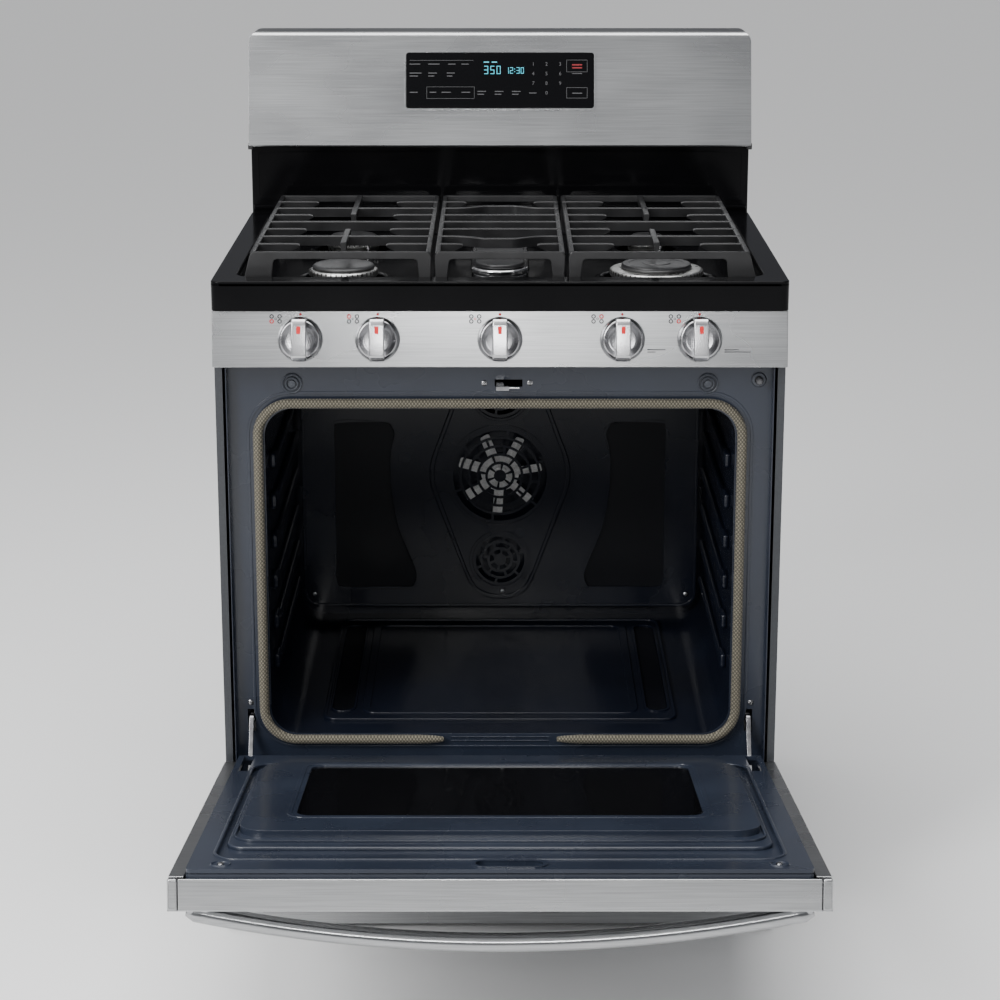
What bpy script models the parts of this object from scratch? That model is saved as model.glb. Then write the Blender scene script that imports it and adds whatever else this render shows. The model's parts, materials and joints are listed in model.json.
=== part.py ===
"""Freestanding gas range, with its oven door standing open.

Units are metres, +Z is up and +X is to the right of a person facing the range. Depths are
measured backwards from the plane of the control panel's lower edge, and deep() turns a depth
into Y. The door is modelled closed, in the hinge's own frame, and an empty on the hinge axis
swings it open. The origin is on the floor, under the centre of the range's box.
"""

import math

import bmesh
import bpy
from mathutils import Matrix, Vector

# Overall size
WIDTH = 0.757
HALF_WIDTH = WIDTH / 2
COOKTOP_HEIGHT = 0.914
OVERALL_HEIGHT = 1.185
REAR_DEPTH = 0.650
SHEET = 0.0015
GAP = 0.0003

# Door, in the hinge's frame: Y runs into the oven and Z up the closed door
OPEN_ANGLE = math.radians(81)
HINGE_DEPTH = -0.014
HINGE_HEIGHT = 0.214
DOOR_FACE = -0.0066
DOOR_BACK = 0.031
DOOR_BOTTOM = -0.019
DOOR_TOP = 0.581
BORDER_FACE = 0.041
PLATEAU_FACE = 0.049
HINGE_ARM_X = 0.343

# Oven
FRAME_DEPTH = 0.044
CAVITY_X = 0.316
CAVITY_FLOOR = 0.270
CAVITY_CEILING = 0.733
CAVITY_BACK = 0.573
BAFFLE_DEPTH = 0.545
MOUTH_RADIUS = 0.038
FAN_HEIGHT = 0.504
ROPE_RADIUS = 0.007

# Cooktop
WELL_X = 0.348
WELL_FRONT = 0.034
WELL_BACK = 0.550
WELL_FLOOR = 0.888
COOKTOP_BACK = 0.577
LIP_BOTTOM = 0.874
GRATE_TOP = 0.947
GRATE_FRONT = 0.041
GRATE_BACK = 0.526

# Controls
PANEL_BOTTOM = 0.799
PANEL_TOP = 0.873
PANEL_LEAN = math.radians(10)
PANEL_REAR = 0.0225
KNOB_POSITIONS = (-0.262, -0.1605, 0.0, 0.1605, 0.262)
KNOB_HEIGHT = 0.836
KNOB_RADIUS = 0.0295
STEM_RADIUS = 0.005

# Backguard
BACKGUARD_DEPTH = 0.578
FASCIA_BOTTOM = 1.017
FASCIA_FRONT = 0.546
FASCIA_SLOPE = 0.045 / 0.162
REAR_SHELL = 0.6485

# Base and drawer
DRAWER_BOTTOM = 0.0105
DRAWER_TOP = 0.190
DRAWER_FACE = -0.014
LEG_X = 0.364
LEG_DEPTHS = (0.060, 0.600)

DOOR_REACH = HINGE_DEPTH - DOOR_TOP * math.sin(OPEN_ANGLE) + DOOR_FACE * math.cos(OPEN_ANGLE)
FRONT_Y = -(REAR_DEPTH + DOOR_REACH) / 2

FACING_FRONT = Matrix.Rotation(math.radians(90), 4, "X")
FACING_SIDE = Matrix(((0, 0, 1, 0), (1, 0, 0, 0), (0, 1, 0, 0), (0, 0, 0, 1)))
ALONG_X = Matrix.Rotation(math.radians(90), 4, "Y")


def deep(depth):
    """Return the Y of a depth behind the control panel's lower edge."""
    return FRONT_Y + depth


# Scene set-up

def clear_scene():
    for old in list(bpy.data.objects):
        bpy.data.objects.remove(old)


def add_collection(name):
    collection = bpy.data.collections.new(name)
    bpy.context.scene.collection.children.link(collection)
    return collection


clear_scene()
PARTS = add_collection("freestanding_gas_range")
CUTTERS = add_collection("cutters")


def add_material(name, color, roughness, metallic=0.0):
    material = bpy.data.materials.new(name)
    material.use_nodes = True
    shader = material.node_tree.nodes["Principled BSDF"]
    shader.inputs["Base Color"].default_value = (*color, 1.0)
    shader.inputs["Roughness"].default_value = roughness
    shader.inputs["Metallic"].default_value = metallic
    return material


STAINLESS = add_material("stainless", (0.56, 0.56, 0.57), 0.32, 1.0)
BLACK_ENAMEL = add_material("black_enamel", (0.01, 0.01, 0.012), 0.12)
BLUE_ENAMEL = add_material("blue_enamel", (0.035, 0.042, 0.06), 0.2)
CAST_IRON = add_material("cast_iron", (0.05, 0.05, 0.052), 0.6)
ALUMINIUM = add_material("aluminium", (0.62, 0.62, 0.6), 0.35, 1.0)
CHROME = add_material("chrome", (0.75, 0.75, 0.76), 0.15, 1.0)
STEEL = add_material("zinc_steel", (0.5, 0.5, 0.5), 0.4, 1.0)
BRASS = add_material("brass", (0.6, 0.45, 0.2), 0.35, 1.0)
ROPE = add_material("rope", (0.33, 0.3, 0.23), 0.85)
GLASS = add_material("dark_glass", (0.01, 0.01, 0.012), 0.05)
DARK_PAINT = add_material("dark_paint", (0.03, 0.033, 0.04), 0.4)
PLASTIC = add_material("white_plastic", (0.6, 0.6, 0.58), 0.4)


# Shape helpers

def wrap(name, mesh, placement=None):
    """Put a mesh into a new object, in the parts collection."""
    thing = bpy.data.objects.new(name, mesh)
    PARTS.objects.link(thing)
    if placement is not None:
        thing.matrix_world = placement
    return thing


def box(name, x, y, z):
    """A box between three (low, high) pairs, with its origin at its centre."""
    mesh = bpy.data.meshes.new(name)
    model = bmesh.new()
    size = (x[1] - x[0], y[1] - y[0], z[1] - z[0])
    bmesh.ops.create_cube(model, size=1.0, matrix=Matrix.Diagonal((*size, 1.0)))
    model.to_mesh(mesh)
    model.free()
    centre = Vector(((x[0] + x[1]) / 2, (y[0] + y[1]) / 2, (z[0] + z[1]) / 2))
    return wrap(name, mesh, Matrix.Translation(centre))


def cylinder(name, radius, length, placement, sides=24):
    """A cylinder whose axis is the placement's Z, centred on the placement's origin."""
    mesh = bpy.data.meshes.new(name)
    model = bmesh.new()
    bmesh.ops.create_cone(model, cap_ends=True, segments=sides, radius1=radius, radius2=radius,
                          depth=length)
    model.to_mesh(mesh)
    model.free()
    return wrap(name, mesh, placement)


def curve_to_mesh(curve_object):
    """Replace a curve object by a welded mesh object of the same name and place."""
    name = curve_object.name
    placement = curve_object.matrix_world.copy()
    evaluated = curve_object.evaluated_get(bpy.context.evaluated_depsgraph_get())
    mesh = bpy.data.meshes.new_from_object(evaluated)
    model = bmesh.new()
    model.from_mesh(mesh)
    bmesh.ops.remove_doubles(model, verts=model.verts, dist=0.00001)
    bmesh.ops.dissolve_degenerate(model, edges=model.edges, dist=0.00001)
    model.to_mesh(mesh)
    model.free()
    bpy.data.objects.remove(curve_object)
    return wrap(name, mesh, placement)


def add_spline(curve, points, cyclic):
    spline = curve.splines.new("POLY")
    spline.points.add(len(points) - 1)
    for point, place in zip(spline.points, points):
        point.co = (*place, 0.0, 1.0) if len(place) == 2 else (*place, 1.0)
    spline.use_cyclic_u = cyclic


def plate(name, outlines, thickness, placement):
    """A flat plate with any holes, its middle plane on the placement's XY plane."""
    curve = bpy.data.curves.new(name, "CURVE")
    curve.dimensions = "2D"
    curve.fill_mode = "BOTH"
    curve.extrude = thickness / 2
    for outline in outlines:
        add_spline(curve, outline, True)
    flat = wrap(name, curve)
    bpy.context.view_layer.update()
    solid = curve_to_mesh(flat)
    solid.matrix_world = placement
    return solid


def rod(name, points, radius, resolution=2):
    """A round rod along a chain of points, with flat ends."""
    curve = bpy.data.curves.new(name, "CURVE")
    curve.dimensions = "3D"
    curve.bevel_depth = radius
    curve.bevel_resolution = resolution
    curve.use_fill_caps = True
    add_spline(curve, points, False)
    wrapped = wrap(name, curve)
    bpy.context.view_layer.update()
    return curve_to_mesh(wrapped)


def turned(name, profile, placement, steps=24):
    """A solid turned about the placement's Z from a (radius, height) profile, top first."""
    mesh = bpy.data.meshes.new(name)
    edges = [(index, index + 1) for index in range(len(profile) - 1)]
    mesh.from_pydata([(radius, 0.0, height) for radius, height in profile], edges, [])
    solid = wrap(name, mesh, placement)
    screw = solid.modifiers.new("turn", "SCREW")
    screw.steps = steps
    screw.render_steps = steps
    screw.use_merge_vertices = True
    screw.merge_threshold = 0.00001
    return solid


def combine(base, others, operation):
    for other in others:
        step = base.modifiers.new(operation.lower(), "BOOLEAN")
        step.operation = operation
        step.solver = "EXACT"
        step.object = other
        PARTS.objects.unlink(other)
        CUTTERS.objects.link(other)
        other.hide_render = True
        other.display_type = "WIRE"
    return base


def cut(base, *others):
    return combine(base, others, "DIFFERENCE")


def join(base, *others):
    return combine(base, others, "UNION")


def finish(thing, material):
    """Give a finished piece its material and smooth its round faces."""
    thing.data.materials.clear()
    thing.data.materials.append(material)
    thing.data.shade_smooth()
    thing.data.set_sharp_from_angle(angle=math.radians(35))
    return thing


def arc(centre, radius, start, end, steps):
    """Points along an arc, with its angles in degrees."""
    turns = [math.radians(start + (end - start) * step / steps) for step in range(steps + 1)]
    return [(centre[0] + radius * math.cos(turn), centre[1] + radius * math.sin(turn))
            for turn in turns]


def rounded(x, y, radius, steps=4):
    """Outline of a rectangle between two (low, high) pairs, with round corners."""
    corners = ((x[1] - radius, y[1] - radius, 0), (x[0] + radius, y[1] - radius, 90),
               (x[0] + radius, y[0] + radius, 180), (x[1] - radius, y[0] + radius, 270))
    outline = []
    for across, up, start in corners:
        outline += arc((across, up), radius, start, start + 90, steps)
    return outline


def rectangle(x, y):
    return [(x[0], y[0]), (x[1], y[0]), (x[1], y[1]), (x[0], y[1])]


def link_outline(start, start_radius, end, end_radius, steps=6):
    """Outline of a flat link with a round end about each of two points."""
    heading = math.degrees(math.atan2(end[1] - start[1], end[0] - start[0]))
    outline = arc(start, start_radius, heading + 90, heading + 270, steps)
    return outline + arc(end, end_radius, heading - 90, heading + 90, steps)


def both_ways(limit):
    return (-limit, limit)


# Body

def make_side_panel(name, side):
    """Pressed side sheet with a return flange at its front and rear edges."""
    outer = side * HALF_WIDTH
    inner = side * (HALF_WIDTH - SHEET)
    front_flange = side * (HALF_WIDTH - 0.010)
    rear_flange = side * (HALF_WIDTH - 0.012)
    front = deep(0.024)
    rear = deep(REAR_DEPTH)
    outline = [(outer, front), (front_flange, front), (front_flange, front + SHEET),
               (inner, front + SHEET), (inner, rear - SHEET), (rear_flange, rear - SHEET),
               (rear_flange, rear), (outer, rear)]
    bottom = 0.022
    top = PANEL_TOP - 0.0005
    middle = Matrix.Translation((0, 0, (bottom + top) / 2))
    finish(plate(name, [outline], top - bottom, middle), DARK_PAINT)


def make_rear_panel():
    reach = both_ways(HALF_WIDTH - 0.0125)
    rear = (deep(REAR_SHELL + 0.0005), deep(REAR_DEPTH))
    finish(box("rear_panel", reach, rear, (0.055, OVERALL_HEIGHT - 0.010)), STEEL)


def make_base_frame():
    reach = HALF_WIDTH - SHEET - 0.0008
    outer = rectangle(both_ways(reach), (deep(0.030), deep(0.645)))
    inner = rectangle(both_ways(reach - 0.0245), (deep(0.055), deep(0.620)))
    frame = plate("base_frame", [outer, inner], 0.030, Matrix.Translation((0, 0, 0.037)))
    for side in (-1, 1):
        for depth in LEG_DEPTHS:
            place = Matrix.Translation((side * LEG_X, deep(depth), 0.034))
            cut(frame, cylinder("thread_bore", STEM_RADIUS + GAP, 0.028, place, 12))
    finish(frame, STEEL)


def make_legs():
    """Levelling feet, each screwed up into the base frame."""
    profile = [(0, 0.044), (STEM_RADIUS, 0.044), (STEM_RADIUS, 0.010), (0.011, 0.010),
               (0.014, 0.004), (0.014, 0.0), (0, 0.0)]
    corners = (("front", LEG_DEPTHS[0]), ("rear", LEG_DEPTHS[1]))
    for side_name, side in (("left", -1), ("right", 1)):
        for corner, depth in corners:
            place = Matrix.Translation((side * LEG_X, deep(depth), 0))
            leg = turned(f"leveling_leg_{corner}_{side_name}", profile, place, 12)
            finish(leg, STEEL)


def make_drawer():
    reach = both_ways(HALF_WIDTH)
    front = box("drawer_front", reach, (deep(DRAWER_FACE), deep(0.004)), (DRAWER_BOTTOM, DRAWER_TOP))
    hollow = box("drawer_front_hollow", both_ways(HALF_WIDTH - SHEET),
                 (deep(DRAWER_FACE + SHEET), deep(0.010)), (DRAWER_BOTTOM + SHEET, DRAWER_TOP - SHEET))
    finish(cut(front, hollow), STAINLESS)
    pan = box("drawer_pan", both_ways(0.335), (deep(0.004 + GAP), deep(0.560)), (0.058, 0.165))
    room = box("drawer_room", both_ways(0.3335), (deep(0.006), deep(0.5585)), (0.0595, 0.180))
    finish(cut(pan, room), STEEL)


# Oven

def make_front_frame():
    """Enamelled frame round the oven's mouth, set back between two side returns."""
    outer = rectangle(both_ways(0.365), (0.200, 0.797))
    mouth = rounded(both_ways(CAVITY_X), (CAVITY_FLOOR, CAVITY_CEILING), MOUTH_RADIUS)
    place = Matrix.Translation((0, deep(FRAME_DEPTH + SHEET / 2), 0)) @ FACING_FRONT
    frame = plate("oven_front_frame", [outer, mouth], SHEET, place)
    for side in (-1, 1):
        returned = sorted((side * 0.3635, side * 0.365))
        join(frame, box("frame_return", returned, (deep(0.026), deep(FRAME_DEPTH + SHEET)),
                        (0.200, 0.797)))
        slot = (side * HINGE_ARM_X - 0.0055, side * HINGE_ARM_X + 0.0055)
        cut(frame, box("hinge_slot", slot, (deep(0.040), deep(0.050)), (0.274, 0.306)))
    cut(frame, box("latch_slot", (-0.007, 0.030), (deep(0.040), deep(0.050)), (0.763, 0.773)))
    switch_place = Matrix.Translation((0.3454, deep(FRAME_DEPTH), 0.773)) @ FACING_FRONT
    cut(frame, cylinder("switch_hole", 0.0052, 0.020, switch_place, 12))
    finish(frame, BLUE_ENAMEL)


def make_liner():
    """Enamelled oven box, open at the front, with pressed rack guides on both walls."""
    wall = 0.002
    front = FRAME_DEPTH + SHEET + GAP
    back = CAVITY_BACK + wall
    outline = rounded(both_ways(CAVITY_X + wall), (CAVITY_FLOOR - wall, CAVITY_CEILING + wall), 0.040)
    place = Matrix.Translation((0, deep((front + back) / 2), 0)) @ FACING_FRONT
    liner = plate("oven_liner", [outline], back - front, place)
    inside = rounded(both_ways(CAVITY_X), (CAVITY_FLOOR, CAVITY_CEILING), MOUTH_RADIUS)
    hollow_front = 0.030
    room_place = Matrix.Translation((0, deep((hollow_front + CAVITY_BACK) / 2), 0)) @ FACING_FRONT
    cut(liner, plate("cavity", [inside], CAVITY_BACK - hollow_front, room_place))
    shaft_place = Matrix.Translation((0, deep(CAVITY_BACK), FAN_HEIGHT)) @ FACING_FRONT
    cut(liner, cylinder("shaft_hole", 0.008, 0.020, shaft_place, 12))
    for side in (-1, 1):
        across = sorted((side * 0.307, side * (CAVITY_X + wall / 2)))
        for guide in range(6):
            low = 0.345 + 0.058 * guide
            join(liner, box("rack_guide", across, (deep(0.100), deep(0.500)), (low, low + 0.012)))
    finish(liner, BLUE_ENAMEL)


def make_floor_plate():
    outer = rounded(both_ways(0.249), (deep(0.092), deep(0.535)), 0.020)
    slots = [rounded(sorted((side * 0.208, side * 0.238)), (deep(0.126), deep(0.502)), 0.014, 3)
             for side in (-1, 1)]
    place = Matrix.Translation((0, 0, CAVITY_FLOOR + GAP + 0.001))
    finish(plate("oven_floor_plate", [outer] + slots, 0.002, place), BLUE_ENAMEL)


def grille_slots(height, inner, outer, count):
    """Radial slots round one centre of the fan cover."""
    half = 90 / count
    slots = []
    for slot in range(count):
        middle = 360 * slot / count
        far = arc((0, height), outer, middle - half, middle + half, 2)
        near = arc((0, height), inner, middle + half, middle - half, 1)
        slots.append(far + near)
    return slots


def make_fan_cover():
    """Rear baffle, with one round grille before the fan and one above and below it."""
    outer = rounded(both_ways(0.3085), (0.291, 0.729), 0.022)
    holes = grille_slots(FAN_HEIGHT, 0.028, 0.068, 10)
    for height in (0.368, 0.632):
        holes += grille_slots(height, 0.014, 0.038, 6)
    place = Matrix.Translation((0, deep(BAFFLE_DEPTH + SHEET / 2), 0)) @ FACING_FRONT
    finish(plate("fan_cover", [outer] + holes, SHEET, place), BLUE_ENAMEL)


def make_convection_fan():
    """Seven blades on a hub, with a shaft that runs back into the motor."""
    axis_place = Matrix.Translation((0, deep(0.559), FAN_HEIGHT)) @ FACING_FRONT
    profile = [(0, 0.0095), (0.012, 0.0095), (0.012, -0.0095), (0.004, -0.0095), (0.004, -0.036),
               (0, -0.036)]
    fan = turned("convection_fan", profile, axis_place, 14)
    for blade in range(7):
        turn = Matrix.Rotation(math.radians(360 * blade / 7), 4, "Z")
        pitch = Matrix.Rotation(math.radians(50), 4, "X")
        vane = box("vane", (-0.028, 0.028), (-0.009, 0.009), (-0.0008, 0.0008))
        vane.matrix_world = axis_place @ turn @ Matrix.Translation((0.038, 0, 0)) @ pitch
        join(fan, vane)
    finish(fan, ALUMINIUM)


def make_fan_motor():
    front = CAVITY_BACK + 0.002 + GAP
    length = 0.062
    place = Matrix.Translation((0, deep(front + length / 2), FAN_HEIGHT)) @ FACING_FRONT
    motor = cylinder("fan_motor", 0.040, length, place)
    bore_place = Matrix.Translation((0, deep(front + 0.008), FAN_HEIGHT)) @ FACING_FRONT
    finish(cut(motor, cylinder("shaft_bore", 0.0046, 0.032, bore_place, 14)), STEEL)


def make_gasket():
    """Braided rope round the mouth, open at the middle of its lower run."""
    reach = 0.3244
    low = 0.2644
    high = 0.7416
    outline = rounded(both_ways(reach), (low, high), 0.0446, 5)
    start = len(outline) - 6
    loop = outline[start:] + outline[:start]
    chain = [(0.0785, low)] + loop + [(-0.0776, low)]
    depth = deep(FRAME_DEPTH - ROPE_RADIUS - 0.0008)
    finish(rod("door_gasket", [(x, depth, z) for x, z in chain], ROPE_RADIUS), ROPE)


def make_oven_burners():
    """Bake burner under the oven floor and broil burner under its ceiling."""
    bake = rod("bake_burner", [(0, deep(0.100), 0.238), (0, deep(0.520), 0.238)], 0.016)
    join(bake, box("bake_bracket", both_ways(0.060), (deep(0.490), deep(0.494)), (0.215, 0.2660)))
    finish(bake, STEEL)
    broil = rod("broil_burner", [(0, deep(0.200), 0.716), (0, deep(0.520), 0.716)], 0.013)
    for depth in (0.230, 0.480):
        join(broil, box("broil_bracket", both_ways(0.045), (deep(depth), deep(depth + 0.003)),
                        (0.712, CAVITY_CEILING - GAP)))
    finish(broil, STEEL)


def make_oven_lamp():
    place = Matrix.Translation((-0.245, deep(BAFFLE_DEPTH - GAP), 0.690)) @ FACING_FRONT
    profile = [(0, 0.014), (0.012, 0.012), (0.020, 0.006), (0.022, 0.0), (0, 0.0)]
    finish(turned("oven_lamp", profile, place, 16), GLASS)


def make_latch():
    """Hook that reaches through the front frame into the door."""
    shank = box("door_latch", both_ways(0.005), (deep(0.010), deep(0.060)), (0.7655, 0.7705))
    join(shank, box("latch_nose", (0.004, 0.012), (deep(0.010), deep(0.016)), (0.7655, 0.7705)))
    finish(shank, CHROME)


def make_light_switch():
    place = Matrix.Translation((0.3454, deep(0.028), 0.773)) @ FACING_FRONT
    profile = [(0, 0.0), (0.003, -0.0005), (0.0045, -0.002), (0.0045, -0.032), (0, -0.032)]
    finish(turned("light_switch_plunger", profile, place, 12), PLASTIC)


# Door

def door_hinge():
    """Empty on the hinge axis that carries the door's pieces and opens them."""
    hinge = bpy.data.objects.new("door_hinge_axis", None)
    PARTS.objects.link(hinge)
    hinge.location = (0, deep(HINGE_DEPTH), HINGE_HEIGHT)
    hinge.rotation_euler = (OPEN_ANGLE, 0, 0)
    bpy.context.view_layer.update()
    return hinge


def hang(hinge, *pieces):
    """Carry pieces modelled in the closed door's frame by the open hinge."""
    for piece in pieces:
        placement = piece.matrix_world.copy()
        piece.parent = hinge
        piece.matrix_local = placement


def door_box(hinge, name, x, y, z):
    piece = box(name, x, y, z)
    hang(hinge, piece)
    return piece


def door_plate(hinge, name, x, y, z, radius):
    """A plate in the door's plane with round corners."""
    middle = Matrix.Translation((0, (y[0] + y[1]) / 2, 0)) @ FACING_FRONT
    piece = plate(name, [rounded(x, z, radius)], y[1] - y[0], middle)
    hang(hinge, piece)
    return piece


def hinge_slots(hinge, low, high):
    return [door_box(hinge, "hinge_clearance", (side * HINGE_ARM_X - 0.007, side * HINGE_ARM_X + 0.007),
                     (DOOR_FACE + SHEET, PLATEAU_FACE), (low, high)) for side in (-1, 1)]


def make_outer_panel(hinge):
    """Stainless door skin: a front with a window, four sides and two rear flanges."""
    skin = door_box(hinge, "door_outer_panel", both_ways(HALF_WIDTH), (DOOR_FACE, DOOR_BACK),
                    (DOOR_BOTTOM, DOOR_TOP))
    room = door_box(hinge, "skin_room", both_ways(HALF_WIDTH - SHEET),
                    (DOOR_FACE + SHEET, DOOR_BACK - SHEET), (DOOR_BOTTOM + SHEET, DOOR_TOP - SHEET))
    mouth = door_box(hinge, "skin_mouth", both_ways(0.3605), (0.010, 0.040),
                     (DOOR_BOTTOM + SHEET, DOOR_TOP - SHEET))
    window = door_box(hinge, "front_window", both_ways(0.235), (-0.020, 0.0), (0.130, 0.420))
    corners = [door_box(hinge, "corner_room", sorted((side * 0.3662, side * 0.390)), (-0.010, 0.040),
                        (DOOR_TOP - 0.0125, DOOR_TOP + 0.010)) for side in (-1, 1)]
    finish(cut(skin, room, mouth, window, *corners, *hinge_slots(hinge, -0.030, 0.0)), STAINLESS)


def make_end_caps(hinge):
    for name, side in (("door_end_cap_left", -1), ("door_end_cap_right", 1)):
        reach = sorted((side * 0.3667, side * HALF_WIDTH))
        cap = door_box(hinge, name, reach, (DOOR_FACE, DOOR_BACK), (DOOR_TOP - 0.012, DOOR_TOP))
        edges = cap.modifiers.new("round", "BEVEL")
        edges.width = 0.0015
        edges.segments = 1
        finish(cap, STAINLESS)


def make_inner_panel(hinge):
    """Enamelled door liner: a border tray, a raised middle and a window opening."""
    tray = door_box(hinge, "door_inner_panel", both_ways(0.358), (0.020, BORDER_FACE), (-0.016, 0.575))
    raised = door_plate(hinge, "plateau", both_ways(0.314), (0.030, PLATEAU_FACE), (0.060, 0.430), 0.034)
    under = door_box(hinge, "tray_room", both_ways(0.3565), (0.010, BORDER_FACE - SHEET),
                     (-0.0145, 0.5735))
    beneath = door_plate(hinge, "plateau_room", both_ways(0.3125), (0.010, PLATEAU_FACE - SHEET),
                         (0.0615, 0.4285), 0.0325)
    window = door_box(hinge, "inner_window", both_ways(0.250), (0.010, 0.060), (0.082, 0.355))
    receiver = door_box(hinge, "latch_receiver", (-0.022, 0.046), (0.030, 0.050), (0.541, 0.566))
    join(tray, raised)
    cut(tray, under, beneath, window, receiver, *hinge_slots(hinge, -0.030, 0.080))
    finish(tray, BLUE_ENAMEL)


def make_door_glass(hinge):
    front = (DOOR_FACE + SHEET + GAP, DOOR_FACE + SHEET + GAP + 0.004)
    outer = door_box(hinge, "door_outer_glass", both_ways(0.255), front, (0.110, 0.440))
    finish(outer, GLASS)
    behind = PLATEAU_FACE - SHEET - GAP
    inner = door_box(hinge, "door_inner_glass", both_ways(0.268), (behind - 0.004, behind),
                     (0.064, 0.373))
    finish(inner, GLASS)


def make_handle(hinge):
    """Bowed bar with an oval section, on one post at each end."""
    height = 0.535
    end = 0.362
    middle_reach = -0.056
    end_reach = -0.0185
    steps = 18
    points = []
    for step in range(steps + 1):
        x = end * (2 * step / steps - 1)
        points.append((x, middle_reach + (end_reach - middle_reach) * (x / end) ** 2, 0))
    bar = rod("door_handle", points, 0.0105)
    bar.data.transform(Matrix.Diagonal((1, 1, 1.35, 1)))
    bar.matrix_world = Matrix.Translation((0, 0, height))
    hang(hinge, bar)
    for side in (-1, 1):
        post = door_box(hinge, "handle_post", sorted((side * 0.336, side * 0.360)),
                        (-0.020, DOOR_FACE - GAP), (height - 0.011, height + 0.011))
        join(bar, post)
    finish(bar, STAINLESS)


def make_hinge_arms():
    """Fixed arms that reach from slots in the front frame down to the door's pivot."""
    pivot = (deep(HINGE_DEPTH), HINGE_HEIGHT)
    elbow = (deep(FRAME_DEPTH), 0.291)
    for name, side in (("hinge_arm_left", -1), ("hinge_arm_right", 1)):
        across = side * HINGE_ARM_X
        place = Matrix.Translation((across, 0, 0)) @ FACING_SIDE
        arm = plate(name, [link_outline(pivot, 0.0042, elbow, 0.008)], 0.006, place)
        tail = box("hinge_tail", (across - 0.003, across + 0.003), (elbow[0], elbow[0] + 0.050),
                   (0.284, 0.298))
        pin_place = Matrix.Translation((across, *pivot)) @ ALONG_X
        finish(join(arm, tail, cylinder("hinge_pin", 0.003, 0.010, pin_place, 10)), CHROME)


def make_door():
    hinge = door_hinge()
    make_outer_panel(hinge)
    make_end_caps(hinge)
    make_inner_panel(hinge)
    make_door_glass(hinge)
    make_handle(hinge)
    make_hinge_arms()


# Controls

def knob_place(across, along=0.0):
    """Frame of a knob's axis: Z is the panel's outward normal, from the panel's face."""
    lean = (KNOB_HEIGHT - PANEL_BOTTOM) * math.tan(PANEL_LEAN)
    face = Matrix.Translation((across, deep(lean), KNOB_HEIGHT))
    return face @ Matrix.Rotation(math.radians(90) - PANEL_LEAN, 4, "X") @ Matrix.Translation((0, 0, along))


def make_control_panel():
    """Leaning stainless front behind the knobs, folded back on all four sides."""
    rise = PANEL_TOP - PANEL_BOTTOM
    top_front = rise * math.tan(PANEL_LEAN)
    outline = [(deep(0), PANEL_BOTTOM), (deep(PANEL_REAR), PANEL_BOTTOM),
               (deep(PANEL_REAR), PANEL_TOP), (deep(top_front), PANEL_TOP)]
    panel = plate("control_panel", [outline], WIDTH, FACING_SIDE)
    skin = SHEET * 1.1
    hollow = [(deep(skin), PANEL_BOTTOM + SHEET), (deep(0.040), PANEL_BOTTOM + SHEET),
              (deep(0.040), PANEL_TOP - SHEET), (deep(top_front + skin), PANEL_TOP - SHEET)]
    cut(panel, plate("panel_room", [hollow], WIDTH - 2 * SHEET, FACING_SIDE))
    for across in KNOB_POSITIONS:
        cut(panel, cylinder("stem_hole", 0.0075, 0.020, knob_place(across), 16))
    finish(panel, STAINLESS)


def make_manifold():
    """Gas rail behind the control panel with one valve body for each knob."""
    rail = knob_place(0, -0.045).translation
    ends = [(side * 0.310, rail.y, rail.z) for side in (-1, 1)]
    manifold = rod("gas_manifold", ends, 0.0085)
    for across in KNOB_POSITIONS:
        join(manifold, cylinder("valve_body", 0.0115, 0.032, knob_place(across, -0.034), 14))
    for across in KNOB_POSITIONS:
        cut(manifold, cylinder("valve_bore", STEM_RADIUS + 0.0004, 0.026, knob_place(across, -0.026), 14))
    finish(manifold, BRASS)


def make_knobs():
    """Stems that push in, and round knobs with a raised grip, which turn on them."""
    skirt = [(0, 0.0185), (0.0225, 0.0185), (0.0262, 0.0165), (0.0285, 0.0115), (KNOB_RADIUS, 0.009),
             (KNOB_RADIUS, 0.005), (0, 0.005)]
    for number, across in enumerate(KNOB_POSITIONS, start=1):
        stem = cylinder(f"valve_stem_{number}", STEM_RADIUS, 0.0465, knob_place(across, -0.00875), 12)
        finish(stem, STEEL)
        knob = turned(f"knob_{number}", skirt, knob_place(across), 28)
        grip = rounded(both_ways(0.0085), both_ways(0.0275), 0.0084, 4)
        join(knob, plate("grip", [grip], 0.026, knob_place(across, 0.023)))
        cut(knob, cylinder("stem_socket", STEM_RADIUS + 0.0004, 0.015, knob_place(across, 0.0105), 12))
        finish(knob, CHROME)


# Cooktop

def make_cooktop():
    """Enamelled top: a folded rim round a sunken well."""
    reach = both_ways(HALF_WIDTH)
    top = box("cooktop", reach, (deep(0), deep(COOKTOP_BACK)), (LIP_BOTTOM, COOKTOP_HEIGHT))
    edges = top.modifiers.new("round", "BEVEL")
    edges.width = 0.003
    edges.segments = 2
    under = box("rim_room", both_ways(HALF_WIDTH - SHEET), (deep(SHEET), deep(COOKTOP_BACK - SHEET)),
                (LIP_BOTTOM - 0.010, COOKTOP_HEIGHT - 0.002))
    wall = 0.002
    pan_outline = rounded(both_ways(WELL_X + wall), (deep(WELL_FRONT - wall), deep(WELL_BACK + wall)),
                          0.027)
    well_outline = rounded(both_ways(WELL_X), (deep(WELL_FRONT), deep(WELL_BACK)), 0.025)
    pan_low = WELL_FLOOR - wall
    pan_high = COOKTOP_HEIGHT - 0.001
    pan = plate("well_pan", [pan_outline], pan_high - pan_low,
                Matrix.Translation((0, 0, (pan_low + pan_high) / 2)))
    well = plate("well_room", [well_outline], 0.060, Matrix.Translation((0, 0, WELL_FLOOR + 0.030)))
    cut(top, under)
    join(top, pan)
    finish(cut(top, well), BLACK_ENAMEL)


def burner_place(across, depth):
    return Matrix.Translation((across, deep(depth), WELL_FLOOR + GAP))


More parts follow.
